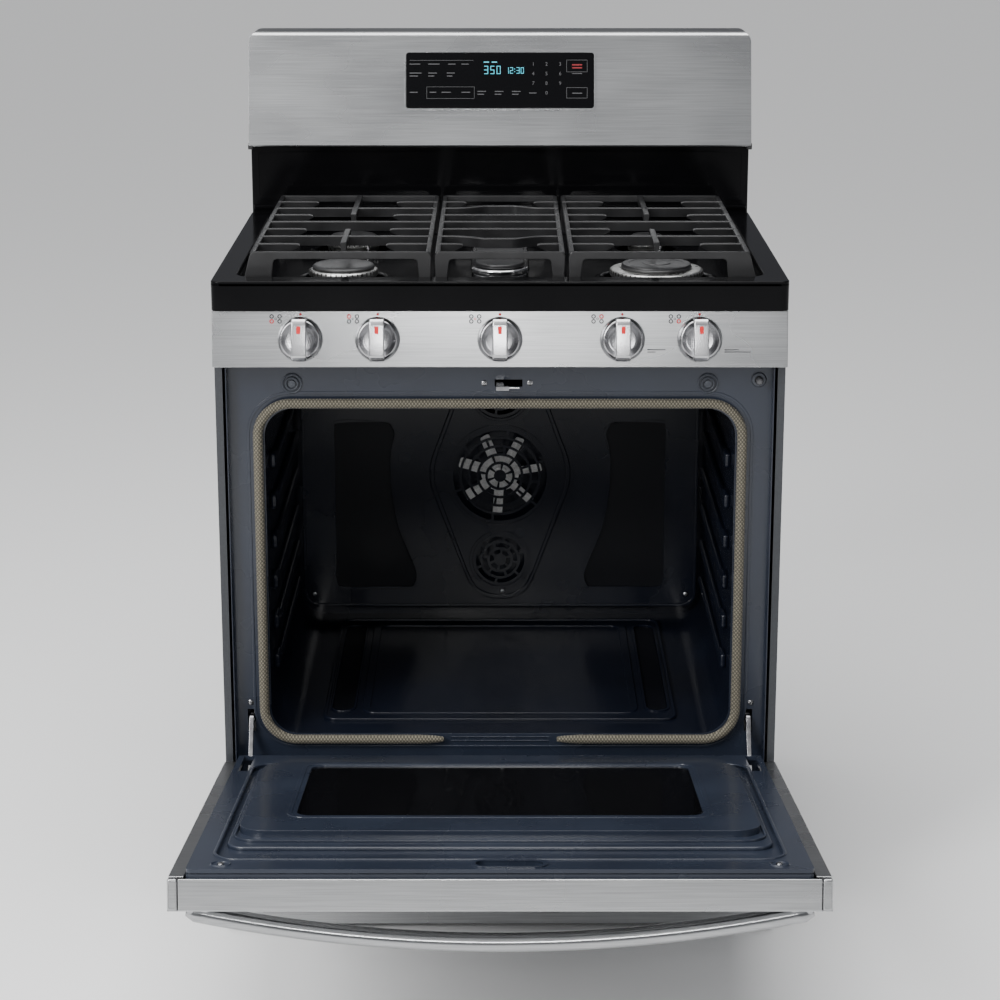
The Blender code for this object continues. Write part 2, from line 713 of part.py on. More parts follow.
def make_round_burner(name, across, depth, head, cap):
    """Burner head with a flared foot, and the loose cap that sits on it."""
    head_profile = [(0, 0.0165), (head - 0.006, 0.0165), (head - 0.002, 0.0155), (head, 0.013),
                    (head, 0.0075), (head * 0.9, 0.005), (head * 0.86, 0.0), (0, 0.0)]
    finish(turned(f"burner_head_{name}", head_profile, burner_place(across, depth)), ALUMINIUM)
    low = 0.0165 + GAP
    cap_profile = [(0, 0.0232), (cap - 0.004, 0.0225), (cap - 0.001, 0.021), (cap, 0.0195),
                   (cap, low + 0.001), (cap - 0.001, low), (0, low)]
    finish(turned(f"burner_cap_{name}", cap_profile, burner_place(across, depth)), CAST_IRON)


def make_oval_burner():
    """Long burner between the two pairs of round ones."""
    middle = deep(0.249)
    outline = rounded(both_ways(0.040), (middle - 0.123, middle + 0.123), 0.0398, 6)
    low = WELL_FLOOR + GAP
    head = plate("burner_head_center", [outline], 0.0165, Matrix.Translation((0, 0, low + 0.00825)))
    finish(head, ALUMINIUM)
    cap_outline = rounded(both_ways(0.034), (middle - 0.115, middle + 0.115), 0.0338, 6)
    cap_middle = low + 0.0165 + GAP + 0.003
    finish(plate("burner_cap_center", [cap_outline], 0.006, Matrix.Translation((0, 0, cap_middle))),
           CAST_IRON)


def make_burners():
    make_round_burner("left_front", -0.213, 0.150, 0.047, 0.042)
    make_round_burner("left_rear", -0.213, 0.389, 0.040, 0.034)
    make_round_burner("right_front", 0.213, 0.150, 0.0635, 0.048)
    make_round_burner("right_rear", 0.213, 0.389, 0.030, 0.023)
    make_oval_burner()


def bar(name, x, y, top=GRATE_TOP, height=0.012):
    return box(name, x, y, (top - height, top))


def grate_rows():
    """Depths of the nine rows of bars, from the front one to the rear one."""
    pitch = (GRATE_BACK - GRATE_FRONT) / 8
    return [GRATE_FRONT + pitch * row for row in range(9)]


def make_grate(name, low, high, finger, foot_low, foot_high):
    """Cast grate: a rim, three full bars, four rows of fingers and four corner feet."""
    half = 0.0045
    rows = grate_rows()
    rim_outer = rectangle((low, high), (deep(rows[0] - half), deep(rows[-1] + half)))
    rim_inner = rectangle((low + 0.010, high - 0.010), (deep(rows[0] + half), deep(rows[-1] - half)))
    middle = Matrix.Translation((0, 0, GRATE_TOP - 0.006))
    grate = plate(name, [rim_outer, rim_inner], 0.012, middle)
    for row in (2, 4, 6):
        join(grate, bar("full_bar", (low + 0.005, high - 0.005), (deep(rows[row] - half),
                                                                  deep(rows[row] + half))))
    for row in (1, 3, 5, 7):
        span = (deep(rows[row] - half), deep(rows[row] + half))
        join(grate, bar("finger", (low + 0.005, low + finger), span),
             bar("finger", (high - finger, high - 0.005), span))
    for across, foot in ((low, foot_low), (high, foot_high)):
        reach = sorted((across, foot)) if abs(foot - across) > 0.009 else (across, foot)
        for depth in (rows[0] - half, rows[-1] + half - 0.012):
            join(grate, box("foot", reach, (deep(depth), deep(depth + 0.012)),
                            (WELL_FLOOR + GAP, GRATE_TOP - 0.006)))
    return grate


def make_grates():
    """Left and right grates with two front-to-back fingers, and the narrow centre grate."""
    rows = grate_rows()
    for name, low, high in (("grate_left", -0.330, -0.0905), ("grate_right", 0.0905, 0.330)):
        middle = (low + high) / 2
        grate = make_grate(name, low, high, 0.062, low + 0.012, high - 0.012)
        for first, last in ((1, 3), (5, 8)):
            join(grate, bar("long_finger", (middle - 0.005, middle + 0.005),
                            (deep(rows[first]), deep(rows[last]))))
        finish(grate, CAST_IRON)
    finish(make_grate("grate_center", -0.086, 0.086, 0.042, -0.074, 0.074), CAST_IRON)


# Backguard

def fascia_place(height, out):
    """Frame on the sloping fascia at a height, pushed out along its normal."""
    depth = FASCIA_FRONT + FASCIA_SLOPE * (height - FASCIA_BOTTOM)
    tilt = math.radians(90) - math.atan(FASCIA_SLOPE)
    return (Matrix.Translation((0, deep(depth), height)) @ Matrix.Rotation(tilt, 4, "X")
            @ Matrix.Translation((0, 0, out)))


def make_backguard_panel():
    skin = box("backguard_panel", both_ways(HALF_WIDTH - 0.0005), (deep(BACKGUARD_DEPTH), deep(REAR_SHELL)),
               (0.876, FASCIA_BOTTOM - 0.0005))
    room = box("backguard_room", both_ways(HALF_WIDTH - 0.0025),
               (deep(BACKGUARD_DEPTH + 0.002), deep(0.660)), (0.878, FASCIA_BOTTOM - 0.0025))
    finish(cut(skin, room), BLACK_ENAMEL)


def fascia_outline(inset):
    """Side profile of the fascia: sloping front, rolled top edge and open rear."""
    lean = math.atan(FASCIA_SLOPE)
    front = deep(FASCIA_FRONT) + inset / math.cos(lean)
    roll = 0.010 - inset
    top = OVERALL_HEIGHT - inset
    touch = top - roll + roll * math.sin(lean)
    centre = (front + FASCIA_SLOPE * (touch - FASCIA_BOTTOM) + roll * math.cos(lean), top - roll)
    rear = deep(REAR_SHELL) + (0.020 if inset else 0.0)
    bottom = FASCIA_BOTTOM + inset
    bottom_front = front + FASCIA_SLOPE * inset
    return [(rear, bottom), (rear, top)] + arc(centre, roll, 90, 180 - math.degrees(lean), 4) + [
        (bottom_front, bottom)]


def make_fascia():
    fascia = plate("backguard_fascia", [fascia_outline(0.0)], WIDTH, FACING_SIDE)
    room = plate("fascia_room", [fascia_outline(SHEET)], WIDTH - 2 * SHEET, FACING_SIDE)
    window = box("display_window", both_ways(0.132), both_ways(0.034), both_ways(0.012))
    window.matrix_world = fascia_place(1.113, 0)
    finish(cut(fascia, room, window), STAINLESS)


def make_display():
    glass = box("display_glass", both_ways(0.1415), both_ways(0.0425), (-0.00125, 0.00125))
    glass.matrix_world = fascia_place(1.113, 0.00125 + GAP)
    finish(glass, GLASS)


def build():
    make_side_panel("side_panel_left", -1)
    make_side_panel("side_panel_right", 1)
    make_rear_panel()
    make_base_frame()
    make_legs()
    make_drawer()
    make_front_frame()
    make_liner()
    make_floor_plate()
    make_fan_cover()
    make_convection_fan()
    make_fan_motor()
    make_gasket()
    make_oven_burners()
    make_oven_lamp()
    make_latch()
    make_light_switch()
    make_door()
    make_control_panel()
    make_manifold()
    make_knobs()
    make_cooktop()
    make_burners()
    make_grates()
    make_backguard_panel()
    make_fascia()
    make_display()
    bpy.context.view_layer.update()


build()
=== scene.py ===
"""Looks of the freestanding gas range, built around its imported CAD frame.

Every mesh is made in the row frame, in metres. Depths run backwards from the lower edge of the
control panel, as in the CAD, and deep() turns one into Y. Pieces of the door are made in the
closed door's own frame (X across, Y into the oven, Z up from the hinge) and are then swung open.
"""

import json
import math

import bmesh
import bpy
import numpy as np
from mathutils import Matrix, Vector


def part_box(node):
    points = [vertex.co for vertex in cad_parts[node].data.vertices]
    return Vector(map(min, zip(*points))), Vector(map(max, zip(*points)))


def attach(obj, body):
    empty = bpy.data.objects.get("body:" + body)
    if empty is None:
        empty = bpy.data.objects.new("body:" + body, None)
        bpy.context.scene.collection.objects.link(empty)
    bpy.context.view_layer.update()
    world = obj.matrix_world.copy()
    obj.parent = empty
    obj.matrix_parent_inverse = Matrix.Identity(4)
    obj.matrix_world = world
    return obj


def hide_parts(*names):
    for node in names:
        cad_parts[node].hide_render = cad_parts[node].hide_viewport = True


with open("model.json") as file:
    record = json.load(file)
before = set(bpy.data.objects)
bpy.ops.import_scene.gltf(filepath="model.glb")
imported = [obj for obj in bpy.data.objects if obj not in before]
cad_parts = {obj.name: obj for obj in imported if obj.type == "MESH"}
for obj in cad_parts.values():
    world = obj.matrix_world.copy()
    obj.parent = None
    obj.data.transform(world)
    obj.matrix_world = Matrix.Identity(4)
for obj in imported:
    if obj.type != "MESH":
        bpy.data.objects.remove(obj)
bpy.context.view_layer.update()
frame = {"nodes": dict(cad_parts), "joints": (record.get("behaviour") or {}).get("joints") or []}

PANEL_LOW, PANEL_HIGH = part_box("control_panel")
COOKTOP_LOW, COOKTOP_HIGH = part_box("cooktop")
FASCIA_LOW, FASCIA_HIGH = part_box("backguard_fascia")
DRAWER_LOW, DRAWER_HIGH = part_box("drawer_front")
FRONT_Y = PANEL_LOW.y
HALF_WIDTH = PANEL_HIGH.x
COOKTOP_TOP = COOKTOP_HIGH.z
GRATE_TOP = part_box("grate_left")[1].z
FRAME_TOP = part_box("oven_front_frame")[1].z
GAP = 0.0003

JOINTS = {joint["name"]: joint for joint in frame["joints"]}
DOOR_JOINT = JOINTS["door_hinge"]
DOOR_PIVOT = Vector(DOOR_JOINT["pos_m"])
DOOR_PLACE = Matrix.Translation(DOOR_PIVOT) @ Matrix.Rotation(
    math.radians(DOOR_JOINT["range_deg"][1]), 4, "X")

# Camera
LENS_MM = 89.4
SENSOR_MM = 36.0
CAMERA_SHIFT = -0.05
CAMERA_PITCH = 0.2543
CAMERA_DEPTH = -3.187
CAMERA_HEIGHT = 1.5156

# Name, place, target, size and power of each lamp
LAMPS = (
    ("key", (-2.4, -2.6, 2.6), (0.0, 0.0, 0.7), (1.3, 2.0), 150),
    ("top", (0.0, -0.3, 3.2), (0.0, 0.0, 0.6), (2.6, 1.6), 75),
    ("fill", (2.8, -2.2, 1.6), (0.0, 0.0, 0.6), (1.0, 2.0), 12),
    ("front", (0.0, -3.3, 1.62), (0.0, 0.5, 0.45), (0.5, 0.3), 16),
)

# Sizes shared with the CAD
SHEET = 0.0015
DOOR_FACE = -0.0066
DOOR_BACK = 0.031
DOOR_BOTTOM = -0.019
DOOR_TOP = 0.581
BORDER_FACE = 0.041
PLATEAU_FACE = 0.049
HINGE_ARM_X = 0.343
FRAME_DEPTH = 0.044
CAVITY_X = 0.316
CAVITY_FLOOR = 0.270
CAVITY_CEILING = 0.733
CAVITY_BACK = 0.573
BAFFLE_DEPTH = 0.545
MOUTH_RADIUS = 0.038
FAN_HEIGHT = 0.504
FAN_DEPTH = 0.559
VASE_HEIGHT = 0.508
WELL_X = 0.348
WELL_FRONT = 0.034
WELL_BACK = 0.550
WELL_FLOOR = 0.888
COOKTOP_BACK = 0.577
BURNER_X = 0.213
FRONT_BURNERS = 0.150
REAR_BURNERS = 0.389
HEAD_TOP = 0.0165
CAP_TOP = 0.0232
GRATE_FRONT = 0.041
GRATE_BACK = 0.526
KNOB_HEIGHT = 0.836
PANEL_LEAN = math.radians(10)
PANEL_REAR = 0.0225
BACKGUARD_DEPTH = 0.578
REAR_SHELL = 0.6485
FASCIA_FRONT = 0.546
FASCIA_SLOPE = 0.045 / 0.162
SWITCH_PLACE = (0.3454, 0.773)
KNOB_XS = (-0.262, -0.1605, 0.0, 0.1605, 0.262)

FACING_FRONT = Matrix.Rotation(math.radians(90), 4, "X")
FACING_SIDE = Matrix(((0, 0, 1, 0), (1, 0, 0, 0), (0, 1, 0, 0), (0, 0, 0, 1)))


def deep(depth):
    """World Y at a depth behind the control panel's lower edge."""
    return FRONT_Y + depth


def both_ways(limit):
    """Limits at equal distances on both sides of zero."""
    return (-limit, limit)


def pair(one, other):
    """Two limits in rising order."""
    return tuple(sorted((one, other)))


# Camera, lights and floor

def add_camera():
    """Camera at the photograph's viewing angle, looking down on the open door."""
    data = bpy.data.cameras.new("camera")
    data.lens = LENS_MM
    data.sensor_width = SENSOR_MM
    data.shift_y = CAMERA_SHIFT
    camera = bpy.data.objects.new("camera", data)
    bpy.context.scene.collection.objects.link(camera)
    camera.location = (0.0, deep(CAMERA_DEPTH), CAMERA_HEIGHT)
    camera.rotation_euler = (math.radians(90) - CAMERA_PITCH, 0, 0)
    bpy.context.scene.camera = camera


def add_area_light(name, place, target, size, power):
    """A rectangular lamp that faces a target."""
    data = bpy.data.lights.new(name, "AREA")
    data.shape = "RECTANGLE"
    data.size, data.size_y = size
    data.energy = power
    light = bpy.data.objects.new(name, data)
    bpy.context.scene.collection.objects.link(light)
    light.location = place
    aim = Vector(target) - Vector(place)
    light.rotation_euler = aim.to_track_quat("-Z", "Y").to_euler()


def add_studio():
    """A softly graded world, brighter from the upper left, and four large lamps."""
    world = bpy.data.worlds.new("studio")
    world.use_nodes = True
    tree = world.node_tree
    turn = (0.0, math.radians(118), math.radians(12))
    mapping = add_mapping(tree, "Generated", Rotation=turn, Location=(0.5, 0.0, 0.0), Scale=(0.5, 0.5, 0.5))
    gradient = add_node(tree, "ShaderNodeTexGradient")
    tree.links.new(mapping, gradient.inputs["Vector"])
    color = add_ramp(tree, gradient.outputs["Color"], (0.45, 0.78, 0.96),
                     ((0.08, 0.082, 0.09), (0.22, 0.225, 0.235), (1.0, 1.0, 1.0)))
    background = tree.nodes["Background"]
    background.inputs["Strength"].default_value = 1.35
    tree.links.new(color, background.inputs["Color"])
    bpy.context.scene.world = world
    for name, place, target, size, power in LAMPS:
        add_area_light(name, place, target, size, power)


# Node helpers for materials

def set_inputs(node, values):
    """Set a node's inputs by name, with underscores for spaces."""
    for socket, value in values.items():
        node.inputs[socket.replace("_", " ")].default_value = value


def add_node(tree, kind, **values):
    """A new node with some of its inputs set."""
    node = tree.nodes.new(kind)
    set_inputs(node, values)
    return node


def add_mapping(tree, space, **values):
    """One of the texture coordinates, moved, turned or scaled."""
    place = add_node(tree, "ShaderNodeTexCoord")
    mapping = add_node(tree, "ShaderNodeMapping", **values)
    tree.links.new(place.outputs[space], mapping.inputs["Vector"])
    return mapping.outputs["Vector"]


def add_ramp(tree, source, positions, colors):
    """Colours by a pattern, from stops in rising order."""
    ramp = tree.nodes.new("ShaderNodeValToRGB")
    stops = ramp.color_ramp.elements
    for extra in positions[2:]:
        stops.new(extra)
    for stop, position, color in zip(stops, positions, colors):
        stop.position = position
        stop.color = (*color, 1.0)
    tree.links.new(source, ramp.inputs["Fac"])
    return ramp.outputs["Color"]


def start_material(name, color, roughness, metallic=0.0, **sockets):
    """A new material with its constant values set on the shader's own sockets."""
    material = bpy.data.materials.new(name)
    material.use_nodes = True
    shader = material.node_tree.nodes["Principled BSDF"]
    sockets.update(Base_Color=(*color, 1.0), Roughness=roughness, Metallic=metallic)
    set_inputs(shader, sockets)
    return material, shader


def add_noise(material, scale, detail=3.0, stretch=(1, 1, 1)):
    """Noise on the object's own coordinates, with each axis scaled by stretch."""
    tree = material.node_tree
    mapping = add_mapping(tree, "Object", Scale=stretch)
    noise = add_node(tree, "ShaderNodeTexNoise", Scale=scale, Detail=detail)
    tree.links.new(mapping, noise.inputs["Vector"])
    return noise.outputs["Fac"]


def add_colors(material, shader, source, dark, light, spread=(0.3, 0.7)):
    """Vary the base colour between two colours by a pattern."""
    color = add_ramp(material.node_tree, source, spread, (dark, light))
    material.node_tree.links.new(color, shader.inputs["Base Color"])


def add_roughness(material, shader, source, low, high):
    """Vary the roughness between two values by a pattern."""
    tree = material.node_tree
    remap = add_node(tree, "ShaderNodeMapRange", From_Min=0.3, From_Max=0.7, To_Min=low, To_Max=high)
    tree.links.new(source, remap.inputs["Value"])
    tree.links.new(remap.outputs["Result"], shader.inputs["Roughness"])


def add_bump(material, shader, source, strength, distance):
    """Raise and lower the surface by a pattern."""
    tree = material.node_tree
    bump = add_node(tree, "ShaderNodeBump", Strength=strength, Distance=distance)
    tree.links.new(source, bump.inputs["Height"])
    tree.links.new(bump.outputs["Normal"], shader.inputs["Normal"])


# Materials

def brushed_metal(name, dark, light, roughness):
    """Sheet metal with long fine streaks along X and soft uneven patches."""
    material, shader = start_material(name, light, roughness[0], 1.0)
    streaks = add_noise(material, 7.0, 2.0, (1.6, 95, 95))
    add_colors(material, shader, streaks, dark, light, (0.2, 0.8))
    add_roughness(material, shader, add_noise(material, 5.0, 2.0, (1, 2, 2)), *roughness)
    add_bump(material, shader, streaks, 0.03, 0.0001)
    return material


def mottled(name, colors, roughness, mottle, grain, relief, metallic=0.0, **sockets):
    """Colour and gloss that follow one noise, with fine relief from another."""
    dark, light = colors
    material, shader = start_material(name, light if metallic else dark, roughness[0], metallic, **sockets)
    clouds = add_noise(material, *mottle)
    add_colors(material, shader, clouds, dark, light)
    add_roughness(material, shader, clouds, *roughness)
    add_bump(material, shader, add_noise(material, *grain), *relief)
    return material


def enamel(name, dark, light, roughness, gloss, coat=0.0):
    """Fired porcelain enamel: faint cloudy colour, orange peel and an optional glassy coat."""
    return mottled(name, (dark, light), roughness, (7.0, 4.0), (220.0, 2.0), (0.04, 0.0002),
                   Coat_Weight=coat, Coat_Roughness=0.08, Specular_IOR_Level=gloss)


def cast_iron(name, dark, light, roughness):
    """Grainy enamelled casting with slightly worn, lighter patches."""
    return mottled(name, (dark, light), roughness, (35.0, 6.0), (900.0, 3.0), (0.35, 0.0003))


def plated_metal(name, dark, light, roughness, scale=60.0):
    """Plated or machined metal with fine mottling."""
    return mottled(name, (dark, light), roughness, (scale, 5.0), (500.0, 1.0), (0.02, 0.0002), 1.0)


def add_weave(material, period):
    """Crossed diagonal bands, high where two strands meet."""
    tree = material.node_tree
    product = add_node(tree, "ShaderNodeMath")
    product.operation = "MULTIPLY"
    for socket, turn in enumerate((38, -38)):
        mapping = add_mapping(tree, "Object", Rotation=(0.0, math.radians(turn), 0.0))
        wave = add_node(tree, "ShaderNodeTexWave", Scale=2 * math.pi / (20 * period))
        tree.links.new(mapping, wave.inputs["Vector"])
        tree.links.new(wave.outputs["Fac"], product.inputs[socket])
    return product.outputs["Value"]


def rope_fabric():
    """Khaki glass-fibre braid with painted shade in the hollows between its strands."""
    material, shader = start_material("braided_rope", (0.2, 0.17, 0.12), 0.85, 0.0, Sheen_Weight=0.1)
    weave = add_weave(material, 0.0036)
    # The darker colour in the hollows between the strands is painted shade.
    add_colors(material, shader, weave, (0.045, 0.040, 0.028), (0.205, 0.185, 0.138), (0.0, 0.55))
    add_bump(material, shader, weave, 0.7, 0.0008)
    add_roughness(material, shader, add_noise(material, 900.0, 4.0), 0.7, 0.95)
    return material


def painted(name, dark, light, roughness):
    """Matt coating whose colour, gloss and relief follow one fine noise."""
    material, shader = start_material(name, dark, roughness[0])
    texture = add_noise(material, 420.0)
    add_colors(material, shader, texture, dark, light)
    add_roughness(material, shader, texture, *roughness)
    add_bump(material, shader, texture, 0.12, 0.0003)
    return material


def tinted_glass(name, gloss):
    """Dark tinted pane with a faint smear pattern in its gloss."""
    material, shader = start_material(name, (0.002, 0.002, 0.0025), 0.05, 0.0, Specular_IOR_Level=gloss)
    add_roughness(material, shader, add_noise(material, 14.0, 4.0, (1, 3, 3)), 0.03, 0.09)
    return material


def glowing(name, color, strength):
    """Lit display segments behind a slightly uneven film."""
    material, shader = start_material(name, (0.02, 0.02, 0.02), 0.3, Emission_Color=(*color, 1.0),
                                      Emission_Strength=strength)
    add_roughness(material, shader, add_noise(material, 600.0, 2.0), 0.25, 0.35)
    return material


def ink(name, color):
    """Printed or moulded mark with a slightly uneven surface."""
    return painted(name, tuple(channel * 0.85 for channel in color), color, (0.35, 0.5))


STAINLESS = brushed_metal("brushed_stainless", (0.33, 0.335, 0.34), (0.47, 0.475, 0.48), (0.25, 0.31))
# Darker, glossier copy of the brushed stainless for the handle: painted shade for the dark surroundings it
# reflects below.
HANDLE_SHADED_STEEL = brushed_metal("handle_stainless_painted_shade", (0.28, 0.285, 0.29), (0.40, 0.405, 0.41), (0.18, 0.24))
BLACK_ENAMEL = enamel("black_enamel", (0.0016, 0.0016, 0.002), (0.003, 0.003, 0.0034), (0.10, 0.15), 0.12)
BLUE_ENAMEL = enamel("blue_enamel", (0.013, 0.017, 0.028), (0.019, 0.025, 0.040), (0.24, 0.32), 0.45, 0.15)
# Darker copy of the blue enamel for the oven's inside: painted shade of the deep cavity.
CAVITY_SHADED_ENAMEL = enamel("cavity_enamel_painted_shade", (0.004, 0.0052, 0.010), (0.006, 0.0082, 0.016), (0.20, 0.27), 0.30)
# Still darker matt enamel for the sunk floor slots and baffle fields: painted shade in these recesses.
RECESS_SHADE_ENAMEL = enamel("recess_enamel_painted_shade", (0.0026, 0.0030, 0.0048), (0.0042, 0.0048, 0.0075), (0.42, 0.52), 0.22)
GRATE_IRON = cast_iron("grate_iron", (0.004, 0.004, 0.0045), (0.009, 0.009, 0.010), (0.34, 0.46))
CAP_IRON = cast_iron("cap_enamel", (0.009, 0.009, 0.010), (0.017, 0.017, 0.018), (0.34, 0.45))
ALUMINIUM = plated_metal("burner_aluminium", (0.50, 0.50, 0.49), (0.72, 0.72, 0.70), (0.24, 0.36))
SATIN_CHROME = plated_metal("satin_chrome", (0.52, 0.52, 0.53), (0.58, 0.58, 0.59), (0.22, 0.27), 40.0)
RING_CHROME = plated_metal("ring_chrome", (0.32, 0.32, 0.33), (0.38, 0.38, 0.39), (0.22, 0.28), 40.0)
POLISHED = plated_metal("polished_steel", (0.55, 0.55, 0.56), (0.78, 0.78, 0.79), (0.10, 0.2), 90.0)
ZINC = plated_metal("zinc_steel", (0.38, 0.39, 0.40), (0.46, 0.47, 0.48), (0.38, 0.44), 45.0)
LINK_STEEL = plated_metal("link_steel", (0.20, 0.20, 0.205), (0.34, 0.34, 0.35), (0.16, 0.28), 90.0)
DARK_ZINC = plated_metal("sooted_steel", (0.05, 0.05, 0.052), (0.10, 0.10, 0.105), (0.4, 0.55), 24.0)
BRASS = plated_metal("machined_brass", (0.42, 0.30, 0.12), (0.66, 0.50, 0.24), (0.25, 0.4))
ROPE = rope_fabric()
SIDE_PAINT = painted("side_paint", (0.022, 0.024, 0.028), (0.034, 0.037, 0.043), (0.34, 0.46))
PLASTIC = painted("switch_plastic", (0.05, 0.05, 0.055), (0.09, 0.09, 0.095), (0.35, 0.5))
# Near-white, non-metallic coat for the fan: painted light, so it shows in the unlit space behind the grille.
FAN_PAINTED_LIGHT = painted("fan_aluminium_painted_light", (0.62, 0.62, 0.61), (0.85, 0.85, 0.84), (0.25, 0.35))
RUBBER = painted("bumper_rubber", (0.030, 0.034, 0.044), (0.050, 0.056, 0.070), (0.45, 0.6))
# Near-black for the flame ports and the collar notch: painted shade inside these openings.
PORT_SHADE = painted("port_painted_shade", (0.006, 0.006, 0.006), (0.014, 0.013, 0.012), (0.6, 0.8))
DARK_GLASS = tinted_glass("dark_glass", 0.25)
WINDOW_GLASS = tinted_glass("window_glass", 0.6)
CYAN_GLOW = glowing("cyan_digits", (0.10, 0.75, 0.95), 1.6)
RED_MARK = ink("red_mark", (0.60, 0.003, 0.006))
RED_LABEL = ink("red_label", (0.22, 0.006, 0.01))
GREY_MARK = ink("grey_mark", (0.07, 0.07, 0.074))
DARK_MARK = ink("dark_mark", (0.012, 0.012, 0.013))


# Mesh helpers

def show(name, mesh, material, stands_for=None, body="range_body"):
    """Link a finished mesh as a piece that rides on a body, in place of a CAD node if one is given."""
    mesh.materials.clear()
    mesh.materials.append(material)
    piece = bpy.data.objects.new(name, mesh)
    bpy.context.scene.collection.objects.link(piece)
    piece.modifiers.new("flat_faces", "WEIGHTED_NORMAL").keep_sharp = True
    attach(piece, body)
    if stands_for:
        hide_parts(stands_for)


def shade(mesh, angle=38):
    """Smooth shading, with edges kept sharp where faces meet at more than an angle."""
    mesh.shade_smooth()
    mesh.set_sharp_from_angle(angle=math.radians(angle))
    return mesh


def bevel_edges(model, width, segments, angle=38):
    """Round every edge where two faces meet at more than an angle."""
    if width <= 0:
        return
    sharp = [edge for edge in model.edges if len(edge.link_faces) == 2
             and edge.calc_face_angle(0.0) > math.radians(angle)]
    bmesh.ops.bevel(model, geom=sharp, offset=width, segments=segments, profile=0.5, affect="EDGES",
                    clamp_overlap=True)


def to_mesh(model, placement=None, outward=True):
    """A shaded mesh from an edit mesh, whose faces are first turned outward unless told not to."""
    mesh = bpy.data.meshes.new("piece")
    if placement is not None:
        bmesh.ops.transform(model, matrix=placement, verts=model.verts)
    if outward:
        bmesh.ops.recalc_face_normals(model, faces=model.faces)
    model.to_mesh(mesh)
    model.free()
    return shade(mesh)


def evaluated_mesh(thing):
    """The mesh that a new object evaluates to; the object is removed again."""
    bpy.context.scene.collection.objects.link(thing)
    bpy.context.view_layer.update()
    evaluated = thing.evaluated_get(bpy.context.evaluated_depsgraph_get())
    mesh = bpy.data.meshes.new_from_object(evaluated)
    bpy.data.objects.remove(thing)
    return mesh


def round_off(model, edge, segments):
    """Join flat faces that were cut into triangles, then round the sharp edges."""
    bmesh.ops.dissolve_limit(model, angle_limit=math.radians(0.5), verts=model.verts, edges=model.edges)
    bevel_edges(model, edge, segments, 50)
    return model


def box_mesh(x, y, z, edge=0.001, segments=2, placement=None):
    """A box between three (low, high) pairs, with rounded edges."""
    model = bmesh.new()
    size = Vector((x[1] - x[0], y[1] - y[0], z[1] - z[0]))
    centre = Vector((x[0] + x[1], y[0] + y[1], z[0] + z[1])) / 2
    bmesh.ops.create_cube(model, size=1.0, matrix=Matrix.Translation(centre) @ Matrix.Diagonal((*size, 1)))
    bevel_edges(model, edge, segments)
    return to_mesh(model, placement)


def plate_mesh(outlines, thickness, placement, edge=0.0005, segments=2):
    """A plate with holes from closed outlines, its middle on the placement's XY plane."""
    curve = bpy.data.curves.new("outline", "CURVE")
    curve.dimensions = "2D"
    curve.fill_mode = "BOTH"
    curve.extrude = thickness / 2
    for outline in outlines:
        spline = curve.splines.new("POLY")
        spline.points.add(len(outline) - 1)
        for point, place in zip(spline.points, outline):
            point.co = (place[0], place[1], 0.0, 1.0)
        spline.use_cyclic_u = True
    model = bmesh.new()
    model.from_mesh(evaluated_mesh(bpy.data.objects.new("outline", curve)))
    bmesh.ops.remove_doubles(model, verts=model.verts, dist=0.00002)
    return to_mesh(round_off(model, edge, segments), placement)


def merged(*meshes, placement=None):
    """One mesh from several, with an optional placement."""
    model = bmesh.new()
    for mesh in meshes:
        model.from_mesh(mesh)
    return to_mesh(model, placement, outward=False)


def grid_mesh(rows):
    """A capped tube through equal rings of points."""
    model = bmesh.new()
    rings = [[model.verts.new(point) for point in row] for row in rows]
    count = len(rings[0])
    for here, there in zip(rings, rings[1:]):
        for point in range(count):
            after = (point + 1) % count
            model.faces.new((here[point], here[after], there[after], there[point]))
    model.faces.new(rings[0])
    model.faces.new(list(reversed(rings[-1])))
    return to_mesh(model)


def turned_mesh(profile, placement, steps=64):
    """A turned form about the placement's Z."""
    rows = []
    for radius, height in profile:
        reach = max(radius, 0.00005)
        turns = [2 * math.pi * step / steps for step in range(steps)]
        rows.append([placement @ Vector((reach * math.cos(turn), reach * math.sin(turn), height))
                     for turn in turns])
    return grid_mesh(rows)


def arc(centre, radius, start, end, steps):
    """Points along an arc, from one angle to another in degrees."""
    turns = [math.radians(start + (end - start) * step / steps) for step in range(steps + 1)]
    return [(centre[0] + radius * math.cos(turn), centre[1] + radius * math.sin(turn)) for turn in turns]


def circle(centre, radius, steps=32):
    """Outline of a circle."""
    return arc(centre, radius, 0, 360 * (steps - 1) / steps, steps - 1)


def rounded(x, y, radius, steps=6):
    """Outline of a rectangle with round corners."""
    corners = ((x[1] - radius, y[1] - radius, 0), (x[0] + radius, y[1] - radius, 90),
               (x[0] + radius, y[0] + radius, 180), (x[1] - radius, y[0] + radius, 270))
    outline = []
    for across, up, start in corners:
        outline += arc((across, up), radius, start, start + 90, steps)
    return outline


def rectangle(x, y):
    """Outline of a rectangle with square corners."""
    return [(x[0], y[0]), (x[1], y[0]), (x[1], y[1]), (x[0], y[1])]


def grown(limits, by):
    """Limits moved outwards at both ends."""
    return (limits[0] - by, limits[1] + by)


def band_mesh(x, y, radii, width, thickness, placement, edge, segments=3, steps=8):
    """A flat band just inside a rectangle, with outer and inner corner radii."""
    outlines = [rounded(x, y, radii[0], steps), rounded(grown(x, -width), grown(y, -width), radii[1], steps)]
    return plate_mesh(outlines, thickness, placement, edge, segments)


def flat_at(height):
    """Placement for a level plate at a height."""
    return Matrix.Translation((0, 0, height))


def front_at(depth, across=0, height=0):
    """Placement for an upright plate at a depth, facing the front."""
    return Matrix.Translation((0, deep(depth), 0)) @ FACING_FRONT @ Matrix.Translation((across, height, 0))


def door_at(reach):
    """Placement for a plate in the door's plane, at a distance behind its hinge line."""
    return DOOR_PLACE @ Matrix.Translation((0, reach, 0)) @ FACING_FRONT


